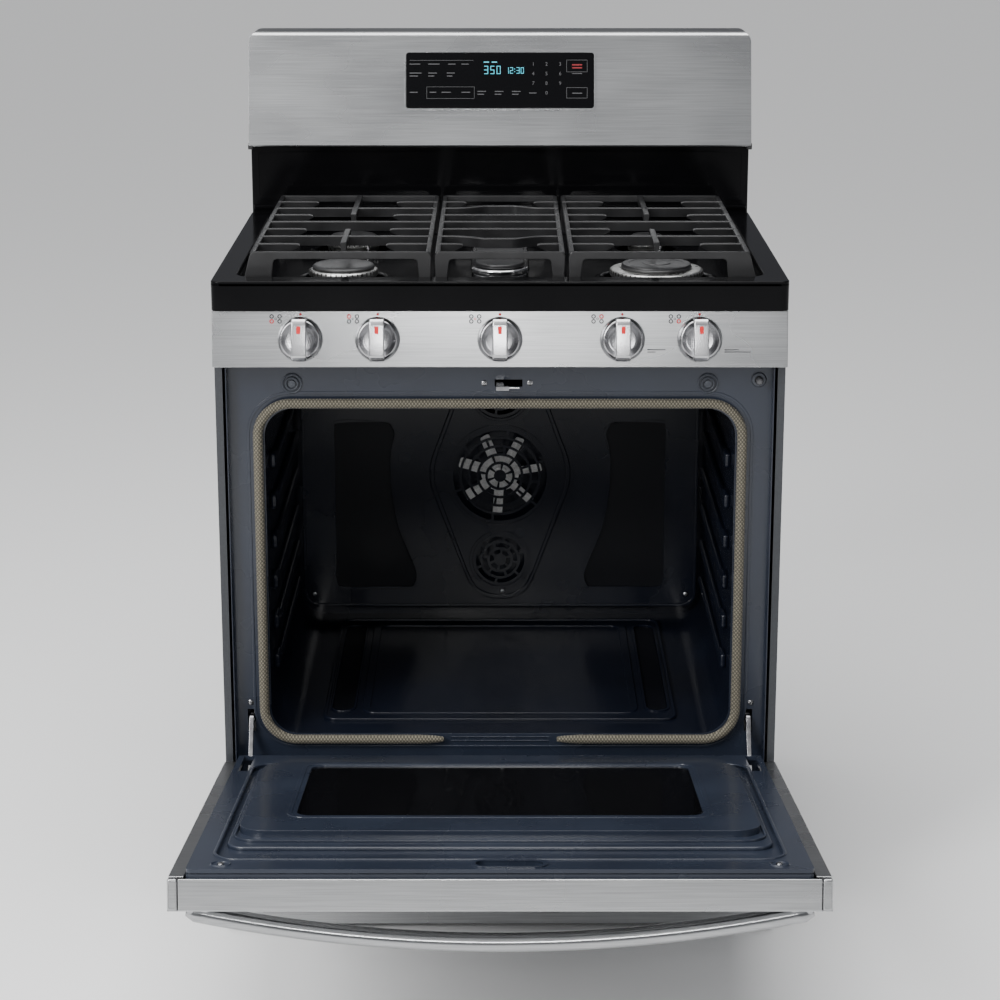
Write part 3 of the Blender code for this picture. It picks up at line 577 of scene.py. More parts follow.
def screw_mesh(placement, radius=0.0035):
    """Pan head with a cross recess, its top along the placement's Z."""
    head = [(0.0, 0.0022), (radius * 0.6, 0.002), (radius * 0.92, 0.0012), (radius, 0.0), (0.0, 0.0)]
    arm = radius * 0.5
    slots = [box_mesh(both_ways(arm), both_ways(radius * 0.14), (0.0019, 0.00235), 0.0),
             box_mesh(both_ways(radius * 0.14), both_ways(arm), (0.0019, 0.00235), 0.0)]
    top = turned_mesh(head, Matrix.Identity(4), 20)
    return merged(top, *slots, placement=placement)


# Body shell

def make_cooktop():
    """Black enamelled rim with rolled edges round a sunken well."""
    depth = (deep(0.0), deep(COOKTOP_BACK))
    well_x = both_ways(WELL_X)
    well_y = (deep(WELL_FRONT), deep(WELL_BACK))
    well = rounded(well_x, well_y, 0.025, 8)
    rim = plate_mesh([rounded(both_ways(HALF_WIDTH), depth, 0.012), well], 0.008,
                     flat_at(COOKTOP_TOP - 0.004), 0.0034, 4)
    skirt_low = COOKTOP_LOW.z
    skirt_high = COOKTOP_TOP - 0.003
    skirt = band_mesh(both_ways(HALF_WIDTH), depth, (0.012, 0.008), 0.004, skirt_high - skirt_low,
                      flat_at((skirt_low + skirt_high) / 2), 0.0012, 2, 6)
    skin = 0.0018
    wall_low = WELL_FLOOR - skin
    wall_high = COOKTOP_TOP - 0.004
    wall = band_mesh(grown(well_x, skin), grown(well_y, skin), (0.0268, 0.025), skin, wall_high - wall_low,
                     flat_at((wall_low + wall_high) / 2), 0.0)
    floor = plate_mesh([well], skin, flat_at(WELL_FLOOR - skin / 2), 0.0)
    fillet = band_mesh(well_x, well_y, (0.025, 0.021), 0.0045, 0.006, flat_at(WELL_FLOOR + 0.002), 0.0025)
    show("cooktop_top", merged(rim, skirt, wall, floor, fillet), BLACK_ENAMEL, "cooktop")


def make_backguard_panel():
    """Gloss black upstand behind the cooktop, with a rolled foot."""
    top = FASCIA_LOW.z - 0.0005
    body = box_mesh(both_ways(HALF_WIDTH - 0.0005), (deep(BACKGUARD_DEPTH), deep(REAR_SHELL)),
                    (0.876, top), 0.003, 3)
    lip = box_mesh(both_ways(HALF_WIDTH - 0.003), (deep(BACKGUARD_DEPTH - 0.0035), deep(BACKGUARD_DEPTH)),
                   (0.918, 0.924), 0.0012)
    inset = band_mesh(both_ways(HALF_WIDTH - 0.004), (0.93, top - 0.004), (0.006, 0.005), 0.008, 0.0012,
                      front_at(BACKGUARD_DEPTH), 0.0005, 2, 6)
    show("backguard_upstand", merged(body, lip, inset), BLACK_ENAMEL, "backguard_panel")


def fascia_place(height, out=0.0):
    """Placement on the sloping fascia: X across, Y up the slope and Z out of it."""
    depth = FASCIA_FRONT + FASCIA_SLOPE * (height - FASCIA_LOW.z)
    tilt = math.radians(90) - math.atan(FASCIA_SLOPE)
    return (Matrix.Translation((0, deep(depth), height)) @ Matrix.Rotation(tilt, 4, "X")
            @ Matrix.Translation((0, 0, out)))


def fascia_profile(roll):
    """Side profile of the fascia, with a rolled top edge."""
    lean = math.atan(FASCIA_SLOPE)
    low = FASCIA_LOW.z
    top = FASCIA_HIGH.z
    front = deep(FASCIA_FRONT)
    touch = top - roll + roll * math.sin(lean)
    centre_y = front + FASCIA_SLOPE * (touch - low) + roll * math.cos(lean)
    outline = [(FASCIA_HIGH.y, low), (FASCIA_HIGH.y, top)]
    outline += arc((centre_y, top - roll), roll, 90, 180 - math.degrees(lean), 10)
    return outline + [(front + 0.001, low + 0.0022), (front + 0.0025, low)]


def intersect(mesh, other):
    """The common volume of two closed meshes."""
    base = bpy.data.objects.new("base", mesh)
    tool = bpy.data.objects.new("tool", other)
    bpy.context.scene.collection.objects.link(tool)
    step = base.modifiers.new("common", "BOOLEAN")
    step.operation = "INTERSECT"
    step.object = tool
    result = evaluated_mesh(base)
    bpy.data.objects.remove(tool)
    return result


def make_fascia():
    """Stainless control backguard with round top corners and small end guards."""
    solid = plate_mesh([fascia_profile(0.010)], 2 * HALF_WIDTH, FACING_SIDE, 0.0)
    face = rounded(both_ways(HALF_WIDTH), (FASCIA_LOW.z, FASCIA_HIGH.z), 0.016, 10)
    middle = (FASCIA_LOW.z + FASCIA_HIGH.z) / 2
    square_foot = [point for point in face if point[1] > middle]
    square_foot += [(-HALF_WIDTH, FASCIA_LOW.z), (HALF_WIDTH, FASCIA_LOW.z)]
    tool = plate_mesh([square_foot], 0.3, front_at(0.60), 0.0)
    model = bmesh.new()
    model.from_mesh(intersect(solid, tool))
    show("fascia_sheet", to_mesh(round_off(model, 0.0016, 3)), STAINLESS, "backguard_fascia")
    for name, side in (("left", -1), ("right", 1)):
        reach = pair(side * (HALF_WIDTH - 0.006), side * (HALF_WIDTH + 0.0012))
        guard = box_mesh(reach, (deep(0.5475), deep(0.600)), (FASCIA_LOW.z - 0.0045, FASCIA_LOW.z + 0.005))
        show(f"fascia_guard_{name}", guard, DARK_MARK)


def make_control_panel():
    """Leaning brushed panel with rounded edges."""
    lower = PANEL_LOW.z
    upper = PANEL_HIGH.z
    top_front = (upper - lower) * math.tan(PANEL_LEAN)
    rear = deep(PANEL_REAR)
    outline = [(rear, lower), (rear, upper), (deep(top_front), upper), (deep(0.0), lower)]
    shell = plate_mesh([outline], 2 * HALF_WIDTH, FACING_SIDE, 0.0014, 3)
    show("control_sheet", shell, STAINLESS, "control_panel")


def make_drawer():
    """Brushed drawer front with returned edges."""
    body = box_mesh(both_ways(DRAWER_HIGH.x), (DRAWER_LOW.y, DRAWER_HIGH.y),
                    (DRAWER_LOW.z, DRAWER_HIGH.z), 0.0022, 3)
    show("drawer_sheet", body, STAINLESS, "drawer_front", body="storage_drawer")
    # Thin dark strip along the top edge: painted shade of the finger-pull recess.
    pull = box_mesh(both_ways(DRAWER_HIGH.x - 0.012), (DRAWER_LOW.y - 0.0006, DRAWER_LOW.y + 0.004),
                    (DRAWER_HIGH.z - 0.013, DRAWER_HIGH.z - 0.0115), 0.0004)
    show("drawer_pull_shade", pull, DARK_MARK, body="storage_drawer")


# Backguard controls

# Foot, height and (left, width) dashes of each row of printed words
LABEL_ROWS = (
    (0.0240, 0.0012, ((-0.136, 0.016), (-0.108, 0.017), (-0.078, 0.011), (-0.058, 0.011))),
    (0.0105, 0.0012, ((-0.136, 0.018), (-0.108, 0.013), (-0.080, 0.012))),
    (0.0060, 0.0012, ((-0.136, 0.0126), (-0.108, 0.0091), (-0.080, 0.0084))),
    (-0.0185, 0.0012, ((-0.136, 0.012), (-0.106, 0.010), (-0.088, 0.014), (-0.058, 0.013))),
    (-0.0172, 0.0012, ((-0.034, 0.013), (-0.008, 0.013), (0.018, 0.013))),
    (-0.0215, 0.0012, ((-0.034, 0.010), (-0.008, 0.010), (0.018, 0.010))),
    (-0.0196, 0.0012, ((0.044, 0.011),)),
    (0.0098, 0.0010, ((0.1085, 0.015),)),
    (-0.0200, 0.0014, ((0.1085, 0.015),)),
)
SEGMENTS = {"0": "abcdef", "1": "bc", "2": "abged", "3": "abgcd", "5": "afgcd"}


def digit_strokes(character, left, low, height, stroke):
    """Rectangles of one seven-segment digit."""
    width = height * 0.5
    half = height / 2
    places = {
        "a": (left, left + width, low + height - stroke, low + height),
        "g": (left, left + width, low + half - stroke / 2, low + half + stroke / 2),
        "d": (left, left + width, low, low + stroke),
        "f": (left, left + stroke, low + half, low + height),
        "b": (left + width - stroke, left + width, low + half, low + height),
        "e": (left, left + stroke, low, low + half),
        "c": (left + width - stroke, left + width, low, low + half),
    }
    inset = stroke * 0.16
    strokes = []
    for segment in SEGMENTS[character]:
        x0, x1, y0, y1 = places[segment]
        strokes.append(((x0 + inset, x1 - inset), (y0 + inset, y1 - inset)))
    return strokes


def readout_strokes():
    """Oven temperature and clock, with two small indicator dashes above them."""
    strokes = []
    for index, character in enumerate("350"):
        strokes += digit_strokes(character, -0.0240 + index * 0.0094, 0.0095, 0.0125, 0.0012)
    for index, character in enumerate("1230"):
        gap = 0.0034 if index > 1 else 0.0
        strokes += digit_strokes(character, 0.0085 + index * 0.0064 + gap, 0.0102, 0.0096, 0.0010)
    for height in (0.0132, 0.0172):
        strokes.append(((0.0215, 0.0226), (height - 0.0005, height + 0.0006)))
    strokes.append(((-0.0245, -0.0165), (0.0270, 0.0282)))
    strokes.append(((-0.0125, -0.0045), (0.0270, 0.0282)))
    return strokes


def flat_marks(strokes, thickness, placement):
    """Thin raised rectangles on a placement's XY plane."""
    return merged(*[box_mesh(x, y, (0.0, thickness), 0.0) for x, y in strokes], placement=placement)


def box_outline(x, y, stroke):
    """Four strokes that frame a rectangle."""
    return [((x[0], x[1]), (y[0], y[0] + stroke)), ((x[0], x[1]), (y[1] - stroke, y[1])),
            ((x[0], x[0] + stroke), (y[0], y[1])), ((x[1] - stroke, x[1]), (y[0], y[1]))]


def keypad_mesh(placement):
    """Digits of the number pad."""
    meshes = []
    for row, characters in zip((0.0245, 0.0100, -0.0045, -0.0190), ("123", "456", "789", " 0 ")):
        for column, character in zip((0.0500, 0.0700, 0.0905), characters):
            if character == " ":
                continue
            text = bpy.data.curves.new("digit", "FONT")
            text.body = character
            text.size = 0.0075
            text.align_x = "CENTER"
            text.align_y = "CENTER"
            text.extrude = 0.0001
            text.resolution_u = 3
            mesh = evaluated_mesh(bpy.data.objects.new("digit", text))
            mesh.transform(Matrix.Translation((column, row, 0.0001)))
            meshes.append(mesh)
    return merged(*meshes, placement=placement)


def label_strokes():
    """Short dashes in place of the touch pad's words."""
    strokes = []
    for low, height, dashes in LABEL_ROWS:
        strokes += [((left, left + width), (low, low + height)) for left, width in dashes]
    return strokes


def make_display():
    """Touch glass with a light bezel, a lit readout and a printed keypad."""
    low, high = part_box("display_glass")
    middle = (low.z + high.z) / 2 - 0.0004
    glass = plate_mesh([rounded(both_ways(0.1415), both_ways(0.0420), 0.0045)], 0.0025,
                       fascia_place(middle, 0.00155))
    show("display_pane", glass, DARK_GLASS, "display_glass")
    bezel = band_mesh(both_ways(0.1436), both_ways(0.0441), (0.006, 0.0047), 0.0018, 0.0028,
                      fascia_place(middle, 0.0016), 0.0005, 2, 6)
    show("display_bezel", bezel, STAINLESS)
    face = fascia_place(middle, 0.0028)
    show("display_readout", flat_marks(readout_strokes(), 0.00025, face), CYAN_GLOW)
    show("keypad_digits", keypad_mesh(face), GREY_MARK)
    frames = box_outline((0.100, 0.1315), (-0.0270, -0.0105), 0.0006)
    frames += box_outline((-0.1105, -0.0385), (-0.0275, -0.0095), 0.0005)
    frames += box_outline((0.100, 0.1315), (0.0125, 0.0310), 0.0006)
    frames.append(((-0.136, -0.040), (0.0300, 0.0305)))
    show("keypad_labels", flat_marks(label_strokes() + frames, 0.0002, face), GREY_MARK)
    red = [((0.1085, 0.1235), (0.0225, 0.0245)), ((0.1085, 0.1235), (0.0180, 0.0200))]
    show("keypad_off_mark", flat_marks(red, 0.0002, face), RED_LABEL)


# Knobs and panel marks

def knob_place(across):
    """Placement on the leaning panel at a knob: Z out of the panel."""
    lean = (KNOB_HEIGHT - PANEL_LOW.z) * math.tan(PANEL_LEAN)
    face = Matrix.Translation((across, deep(lean), KNOB_HEIGHT))
    return face @ Matrix.Rotation(math.radians(90) - PANEL_LEAN, 4, "X")


def knob_ring_mesh(placement):
    """Dished ring of a knob."""
    profile = [(0.0, 0.0140), (0.0165, 0.0140), (0.0195, 0.0150), (0.0225, 0.0182), (0.0243, 0.0196),
               (0.0256, 0.0192), (0.0270, 0.0172), (0.0285, 0.0120), (0.0293, 0.0090), (0.0295, 0.0072),
               (0.0295, 0.0055), (0.0288, 0.0050), (0.0, 0.0050)]
    return turned_mesh(profile, placement, 72)


def knob_grip_mesh(placement):
    """Tall flat grip across a knob, with a sloping nose at its pointer end."""
    profile = [(-0.0275, 0.0125), (-0.0275, 0.0310), (-0.0240, 0.0352), (-0.0200, 0.0360), (0.0185, 0.0360),
               (0.0262, 0.0322), (0.0274, 0.0300), (0.0276, 0.0125)]
    return plate_mesh([profile], 0.0195, placement @ FACING_SIDE, 0.0018, 3)


def make_knobs():
    """Chrome knobs, each with a dished ring, a tall grip and a red pointer."""
    for number, across in enumerate(KNOB_XS, start=1):
        place = knob_place(across)
        pointer = plate_mesh([rounded(both_ways(0.0026), (0.0078, 0.0178), 0.0012, 3)], 0.0006,
                             place @ flat_at(0.0363), 0.0)
        for part, mesh, material in (("ring", knob_ring_mesh(place), RING_CHROME),
                                     ("grip", knob_grip_mesh(place), SATIN_CHROME)):
            show(f"knob_{number}_{part}", mesh, material, f"knob_{number}", body=f"dial_{number}")
        show(f"knob_{number}_pointer", pointer, RED_MARK, body=f"dial_{number}")


def make_panel_marks():
    """Off marks above the knobs and four-ring icons that show each knob's burner."""
    ring_places = ((-0.0052, 0.0032), (0.0052, 0.0032), (-0.0052, -0.0032), (0.0052, -0.0032))
    red_rings = (2, 0, None, 1, 3)
    icon_x, icon_y = icon = (-0.0325, 0.0265)
    thick = 0.0004
    dark = []
    red = []
    for across, lit in zip(KNOB_XS, red_rings):
        place = knob_place(across)
        red.append(plate_mesh([circle((0, 0.0325), 0.0018, 12)], thick, place, 0.0))
        for ring, (x, y) in enumerate(ring_places):
            centre = (icon_x + x, icon_y + y)
            shape = plate_mesh([circle(centre, 0.0030, 20), circle(centre, 0.0016, 16)], thick, place, 0.0)
            (red if ring == lit else dark).append(shape)
        middle = plate_mesh([circle(icon, 0.0016, 16), circle(icon, 0.0009, 12)], thick, place, 0.0)
        (red if lit is None else dark).append(middle)
    for across, widths in zip(KNOB_XS[3:], ((0.024, 0.011), (0.019, 0.034))):
        for width, drop in zip(widths, (-0.0145, -0.0175)):
            note = rectangle((0.033, 0.033 + width), (drop, drop + 0.0011))
            dark.append(plate_mesh([note], thick, knob_place(across), 0.0))
    show("off_marks", merged(*red), RED_MARK)
    show("burner_icons", merged(*dark), DARK_MARK)


# Burners and grates

def port_mesh(place, radius, low, high, count):
    """Dark boxes of painted shade in place of the narrow flame ports round a burner head."""
    reach = (radius - 0.002, radius + 0.0003)
    ports = []
    for index in range(count):
        turn = place @ Matrix.Rotation(2 * math.pi * index / count, 4, "Z")
        ports.append(box_mesh(reach, both_ways(0.0008), (low, high), 0.0, 1, turn))
    return merged(*ports)


def make_burner(name, across, depth, head, cap, ports):
    """Aluminium head with dark ports on an enamelled seat, and a loose domed cap."""
    place = Matrix.Translation((across, deep(depth), WELL_FLOOR + GAP))
    profile = [(0.0, HEAD_TOP), (head - 0.0045, HEAD_TOP), (head - 0.0022, 0.0160), (head - 0.0006, 0.0148),
               (head, 0.0130), (head, 0.0085), (head - 0.0006, 0.0070), (head - 0.0028, 0.0060),
               (head - 0.0034, 0.0), (0.0, 0.0)]
    show(f"burner_{name}_head", turned_mesh(profile, place, 96), ALUMINIUM, f"burner_head_{name}")
    show(f"burner_{name}_ports", port_mesh(place, head, 0.0105, 0.0150, ports), PORT_SHADE)
    low = HEAD_TOP + GAP
    cap_profile = [(0.0, CAP_TOP), (cap * 0.55, 0.0231), (cap - 0.006, 0.0226), (cap - 0.0028, 0.0218),
                   (cap - 0.0008, 0.0205), (cap, 0.0190), (cap - 0.0003, low + 0.0008),
                   (cap - 0.0012, low), (0.0, low)]
    show(f"burner_{name}_cap", turned_mesh(cap_profile, place, 72), CAP_IRON, f"burner_cap_{name}",
         body=f"flame_cap_{name}")
    make_seat(name, place, head)


def make_seat(name, place, head):
    """Low pressed ring in the well round a burner, and its spark electrode."""
    ring = turned_mesh([(head + 0.0125, 0.0002), (head + 0.0145, 0.0022), (head + 0.0175, 0.0026),
                        (head + 0.0205, 0.0018), (head + 0.0225, 0.0002)],
                       place @ Matrix.Translation((0, 0, 0.0002)), 72)
    show(f"burner_{name}_seat", ring, BLACK_ENAMEL)
    post = [(0.0, 0.0165), (0.0011, 0.016), (0.0011, 0.0095), (0.0024, 0.009), (0.0026, 0.0), (0.0, 0.0)]
    stand = place @ Matrix.Rotation(math.radians(-60), 4, "Z") @ Matrix.Translation((head + 0.006, 0, 0))
    show(f"burner_{name}_spark", turned_mesh(post, stand, 16), POLISHED)


def make_power_burner():
    """Outer flame ring, notched collar and crown of the large burner."""
    place = Matrix.Translation((BURNER_X, deep(FRONT_BURNERS), WELL_FLOOR + GAP))
    low = CAP_TOP
    ring = [(0.0370, low - 0.0014), (0.0374, low), (0.0395, low + 0.0006), (0.0440, low + 0.0005),
            (0.0462, low - 0.0002), (0.0470, low - 0.0018)]
    show("burner_right_front_ring", turned_mesh(ring, place, 96), CAP_IRON, body="flame_cap_right_front")
    notch = box_mesh(both_ways(0.0085), (-0.0642, -0.0560), (0.0045, 0.0125), 0.0008, 2, place)
    # The notch is a dark box of painted shade.
    show("burner_right_front_notch", notch, PORT_SHADE)
    crown = [(0.0, low + 0.0020), (0.014, low + 0.0019), (0.0185, low + 0.0010), (0.0195, low - 0.0002),
             (0.0, low - 0.0002)]
    show("burner_right_front_crown", turned_mesh(crown, place, 60), CAP_IRON, body="flame_cap_right_front")


def make_oval_burner():
    """Long centre burner: polished tray with a rolled rim, and a flat dark cap."""
    middle = deep(0.249)
    low = WELL_FLOOR + GAP
    foot, rim, cap = (
        plate_mesh([rounded(both_ways(wide), (middle - long, middle + long), radius, 14)], thick,
                   flat_at(low + height), edge, segments)
        for wide, long, radius, thick, height, edge, segments in (
            (0.037, 0.120, 0.0368, 0.008, 0.004, 0.002, 3),
            (0.040, 0.123, 0.0398, 0.0085, 0.01225, 0.0028, 4),
            (0.0335, 0.115, 0.0333, 0.006, HEAD_TOP + GAP + 0.003, 0.0022, 3)))
    show("burner_center_head", merged(foot, rim), POLISHED, "burner_head_center")
    show("burner_center_cap", cap, CAP_IRON, "burner_cap_center", body="flame_cap_center")


def bar_mesh(points, width=0.0068, heights=None):
    """A cast bar along points: rounded crown, tapering sides and a depth at each point."""
    half = width / 2
    crown = 0.0013
    heights = heights or [0.0135] * len(points)
    rows = []
    for index, (point, height) in enumerate(zip(points, heights)):
        heading = Vector(points[min(index + 1, len(points) - 1)]) - Vector(points[max(index - 1, 0)])
        heading.z = 0
        heading.normalize()
        side = Vector((-heading.y, heading.x, 0))
        section = ((-half + crown, 0.0), (half - crown, 0.0), (half - 0.0003, -crown * 0.45), (half, -crown),
                   (half * 0.7, -height), (-half * 0.7, -height), (-half, -crown),
                   (-half + 0.0003, -crown * 0.45))
        rows.append([Vector(point) + side * u + Vector((0, 0, v)) for u, v in section])
    return grid_mesh(rows)


def straight(start, end, nose=0.003, **shape):
    """A straight cast bar whose ends fall away over a short nose."""
    start, end = Vector(start), Vector(end)
    along = (end - start).normalized() * nose
    fall = Vector((0, 0, 0.0012))
    return bar_mesh([start - fall, start + along, end - along, end - fall], **shape)


def grate_rows():
    """Y of the nine evenly spaced cross rows of a grate."""
    pitch = (GRATE_BACK - GRATE_FRONT) / 8
    return [deep(GRATE_FRONT + pitch * row) for row in range(9)]


def apron_mesh(low, high, foot_low, foot_high, depth):
    """End wall of a grate: a top rail on two legs that splay to the well floor."""
    floor = WELL_FLOOR + GAP
    top = GRATE_TOP - 0.0006
    arch_top = GRATE_TOP - 0.0105
    leg_low = foot_low + (0.040 if abs(foot_low - low) > 0.009 else 0.0125)
    leg_high = foot_high - (0.040 if abs(foot_high - high) > 0.009 else 0.0125)
    shoulder = ((0.004, 0.005), (0.0055, 0.0015), (0.009, 0.0))
    outline = [(foot_low, floor), (leg_low, floor)]
    outline += [(leg_low + inward, arch_top - drop) for inward, drop in shoulder]
    outline += [(leg_high - inward, arch_top - drop) for inward, drop in reversed(shoulder)]
    outline += [(leg_high, floor), (foot_high, floor), (high, top - 0.006), (high - 0.004, top),
                (low + 0.004, top), (low, top - 0.006)]
    place = Matrix.Translation((0, depth, 0)) @ FACING_FRONT
    return plate_mesh([outline], 0.0065, place, 0.0013)


def grate_frame(low, high, foot_low, foot_high):
    """Both end walls and both side rails of a grate."""
    rows = grate_rows()
    pieces = [apron_mesh(low, high, foot_low, foot_high, rows[end]) for end in (0, 8)]
    for across in (low + 0.004, high - 0.004):
        pieces.append(straight((across, rows[0], GRATE_TOP - 0.001), (across, rows[8], GRATE_TOP - 0.001)))
    return pieces


def grate_finger(outer, length, y):
    """A finger that points inwards from a side rail and thins out towards its tip."""
    reaches = (0.0, abs(length) - 0.030, abs(length) - 0.014, abs(length) - 0.004, abs(length))
    points = [(outer + math.copysign(reach, length), y, GRATE_TOP - drop)
              for reach, drop in zip(reaches, (0.0, 0.0, 0.0, 0.0002, 0.0014))]
    return bar_mesh(points, heights=(0.0135, 0.0135, 0.0115, 0.0065, 0.0035))


def cross_bars(low, high, full_rows, finger_rows, finger):
    """Bars from rail to rail on some rows, and a pair of fingers on others."""
    rows = grate_rows()
    pieces = [straight((low, rows[row], GRATE_TOP), (high, rows[row], GRATE_TOP)) for row in full_rows]
    for row in finger_rows:
        pieces += [grate_finger(low, finger, rows[row]), grate_finger(high, -finger, rows[row])]
    return pieces


def make_side_grate(name, low, high, foot_low, foot_high):
    """Outer grate over two burners, with a short bar along the middle of each."""
    rows = grate_rows()
    middle = (low + high) / 2
    pieces = grate_frame(low, high, foot_low, foot_high)
    pieces += cross_bars(low + 0.002, high - 0.002, (2, 4, 6), (1, 3, 5, 7), 0.060)
    for first, last in ((1, 3), (5, 8)):
        start = (middle, rows[first] + 0.004, GRATE_TOP + 0.0004)
        end = (middle, rows[last] - 0.004, GRATE_TOP + 0.0004)
        pieces.append(straight(start, end, width=0.0082))
    show(f"{name}_casting", merged(*pieces), GRATE_IRON, name, body=f"pan_{name}")


def bowed(low, high, y, bow):
    """A bar whose middle swings forwards or backwards between straight ends."""
    points = []
    steps = 24
    for step in range(steps + 1):
        share = step / steps
        swing = 0.5 - 0.5 * math.cos(2 * math.pi * min(max((share - 0.12) / 0.76, 0.0), 1.0))
        points.append((low + (high - low) * share, y + bow * min(1.0, swing * 1.35), GRATE_TOP))
    return bar_mesh(points)


def make_centre_grate():
    """Centre grate over the oval burner, with two bars that bow round its ends."""
    rows = grate_rows()
    outer = 0.086
    inner = outer - 0.002
    pieces = grate_frame(-outer, outer, -inner, inner)
    pieces += cross_bars(-inner, inner, (3, 4, 5), (1, 7), 0.034)
    pieces += [bowed(-inner, inner, rows[2], -0.020), bowed(-inner, inner, rows[6], 0.020)]
    show("grate_center_casting", merged(*pieces), GRATE_IRON, "grate_center", body="pan_grate_center")


def make_cooking_top():
    """The five burners and three grates."""
    make_burner("left_front", -BURNER_X, FRONT_BURNERS, 0.047, 0.0425, 40)
    make_burner("left_rear", -BURNER_X, REAR_BURNERS, 0.040, 0.034, 34)
    make_burner("right_front", BURNER_X, FRONT_BURNERS, 0.0635, 0.048, 54)
    make_burner("right_rear", BURNER_X, REAR_BURNERS, 0.030, 0.023, 26)
    make_power_burner()
    make_oval_burner()
    make_side_grate("grate_left", -0.330, -0.0905, -0.343, -0.092)
    make_side_grate("grate_right", 0.0905, 0.330, 0.092, 0.343)
    make_centre_grate()


# Oven

def make_front_frame():
    """Blue-black frame: flat face with a rolled mouth and side returns."""
    mouth = rounded(both_ways(CAVITY_X), (CAVITY_FLOOR, CAVITY_CEILING), MOUTH_RADIUS, 10)
    height = (0.200, FRAME_TOP)
    slots = [rectangle((side * HINGE_ARM_X - 0.0055, side * HINGE_ARM_X + 0.0055), (0.274, 0.306))
             for side in (-1, 1)]
    slots.append(rectangle((-0.007, 0.030), (0.763, 0.773)))
    slots.append(circle(SWITCH_PLACE, 0.0052, 16))
    face = plate_mesh([rectangle(both_ways(0.365), height), mouth] + slots, SHEET,
                      front_at(FRAME_DEPTH + SHEET / 2), 0.0004)
    seat = band_mesh(both_ways(CAVITY_X + 0.024), (CAVITY_FLOOR - 0.021, CAVITY_CEILING + 0.024),
                     (0.060, 0.056), 0.004, 0.002, front_at(FRAME_DEPTH), 0.0008, 2, 10)
    returns = [box_mesh(pair(side * 0.3635, side * 0.365), (deep(0.026), deep(FRAME_DEPTH + 0.001)), height,
                        0.0005) for side in (-1, 1)]
    show("front_frame_face", merged(face, seat, *returns), BLUE_ENAMEL, "oven_front_frame")


def make_frame_fittings():
    """Door bumpers, screws, latch plate and the light switch's collar."""
    height = 0.768
    for name, side in (("left", -1), ("right", 1)):
        cup = turned_mesh([(0.0135, 0.0), (0.0138, 0.0020), (0.0127, 0.0030), (0.0115, 0.0022),
                           (0.0109, 0.0003), (0.0095, 0.0003), (0.0090, 0.0034), (0.0080, 0.0042),
                           (0.0070, 0.0036), (0.0064, 0.0012), (0.0050, 0.0012), (0.0046, 0.0038),
                           (0.0, 0.0044)], front_at(FRAME_DEPTH, side * 0.2776, height), 40)
        show(f"bumper_{name}", cup, RUBBER)
    places = [(-0.021, height), (0.040, height + 0.0005), (-0.3440, 0.316), (0.3460, 0.316)]
    screws = [screw_mesh(front_at(FRAME_DEPTH, *place), 0.0040) for place in places]
    show("frame_screws", merged(*screws), LINK_STEEL)
    collar = turned_mesh([(0.0056, 0.0), (0.0056, 0.003), (0.0088, 0.0028), (0.0102, 0.0012),
                          (0.0104, 0.0)], front_at(FRAME_DEPTH, *SWITCH_PLACE), 32)
    show("switch_collar", collar, RUBBER)
    strip = box_mesh((0.004, 0.026), (deep(FRAME_DEPTH - 0.0008), deep(FRAME_DEPTH)), (0.7605, 0.7626),
                     0.0003)
    show("latch_strip", strip, POLISHED)


def guide_mesh(side, height):
    """A pressed rack guide: a long ridge with a stop at its front end and a low step."""
    across = pair(side * 0.3075, side * (CAVITY_X + 0.0005))
    runs = ((0.100, 0.500, 0.0, 0.011), (0.100, 0.135, 0.004, 0.021), (0.250, 0.300, -0.006, 0.006))
    return merged(*[box_mesh(across, (deep(front), deep(back)), (height + low, height + high), 0.004, 3)
                    for front, back, low, high in runs])


def make_threshold():
    """Two fine beads on the sill between the ends of the gasket."""
    beads = [box_mesh(both_ways(0.068), (deep(FRAME_DEPTH - 0.0012), deep(FRAME_DEPTH)), (low, low + 0.0016),
                      0.0005) for low in (0.2590, 0.2645)]
    show("sill_beads", merged(*beads), BLUE_ENAMEL)


def make_liner():
    """Oven box with round corners and pressed guides on both side walls."""
    wall = 0.002
    front = FRAME_DEPTH + SHEET + GAP
    back = CAVITY_BACK + wall
    inside = rounded(both_ways(CAVITY_X), (CAVITY_FLOOR, CAVITY_CEILING), MOUTH_RADIUS, 10)
    outside = rounded(both_ways(CAVITY_X + wall), (CAVITY_FLOOR - wall, CAVITY_CEILING + wall), 0.040, 10)
    tube = plate_mesh([outside, inside], back - front, front_at((front + back) / 2))
    rear = plate_mesh([inside, circle((0, FAN_HEIGHT), 0.008, 16)], wall, front_at(CAVITY_BACK + wall / 2),
                      0.0)
    guides = [guide_mesh(side, 0.345 + 0.058 * step) for side in (-1, 1) for step in range(6)]
    show("oven_box", merged(tube, rear, *guides), CAVITY_SHADED_ENAMEL, "oven_liner")


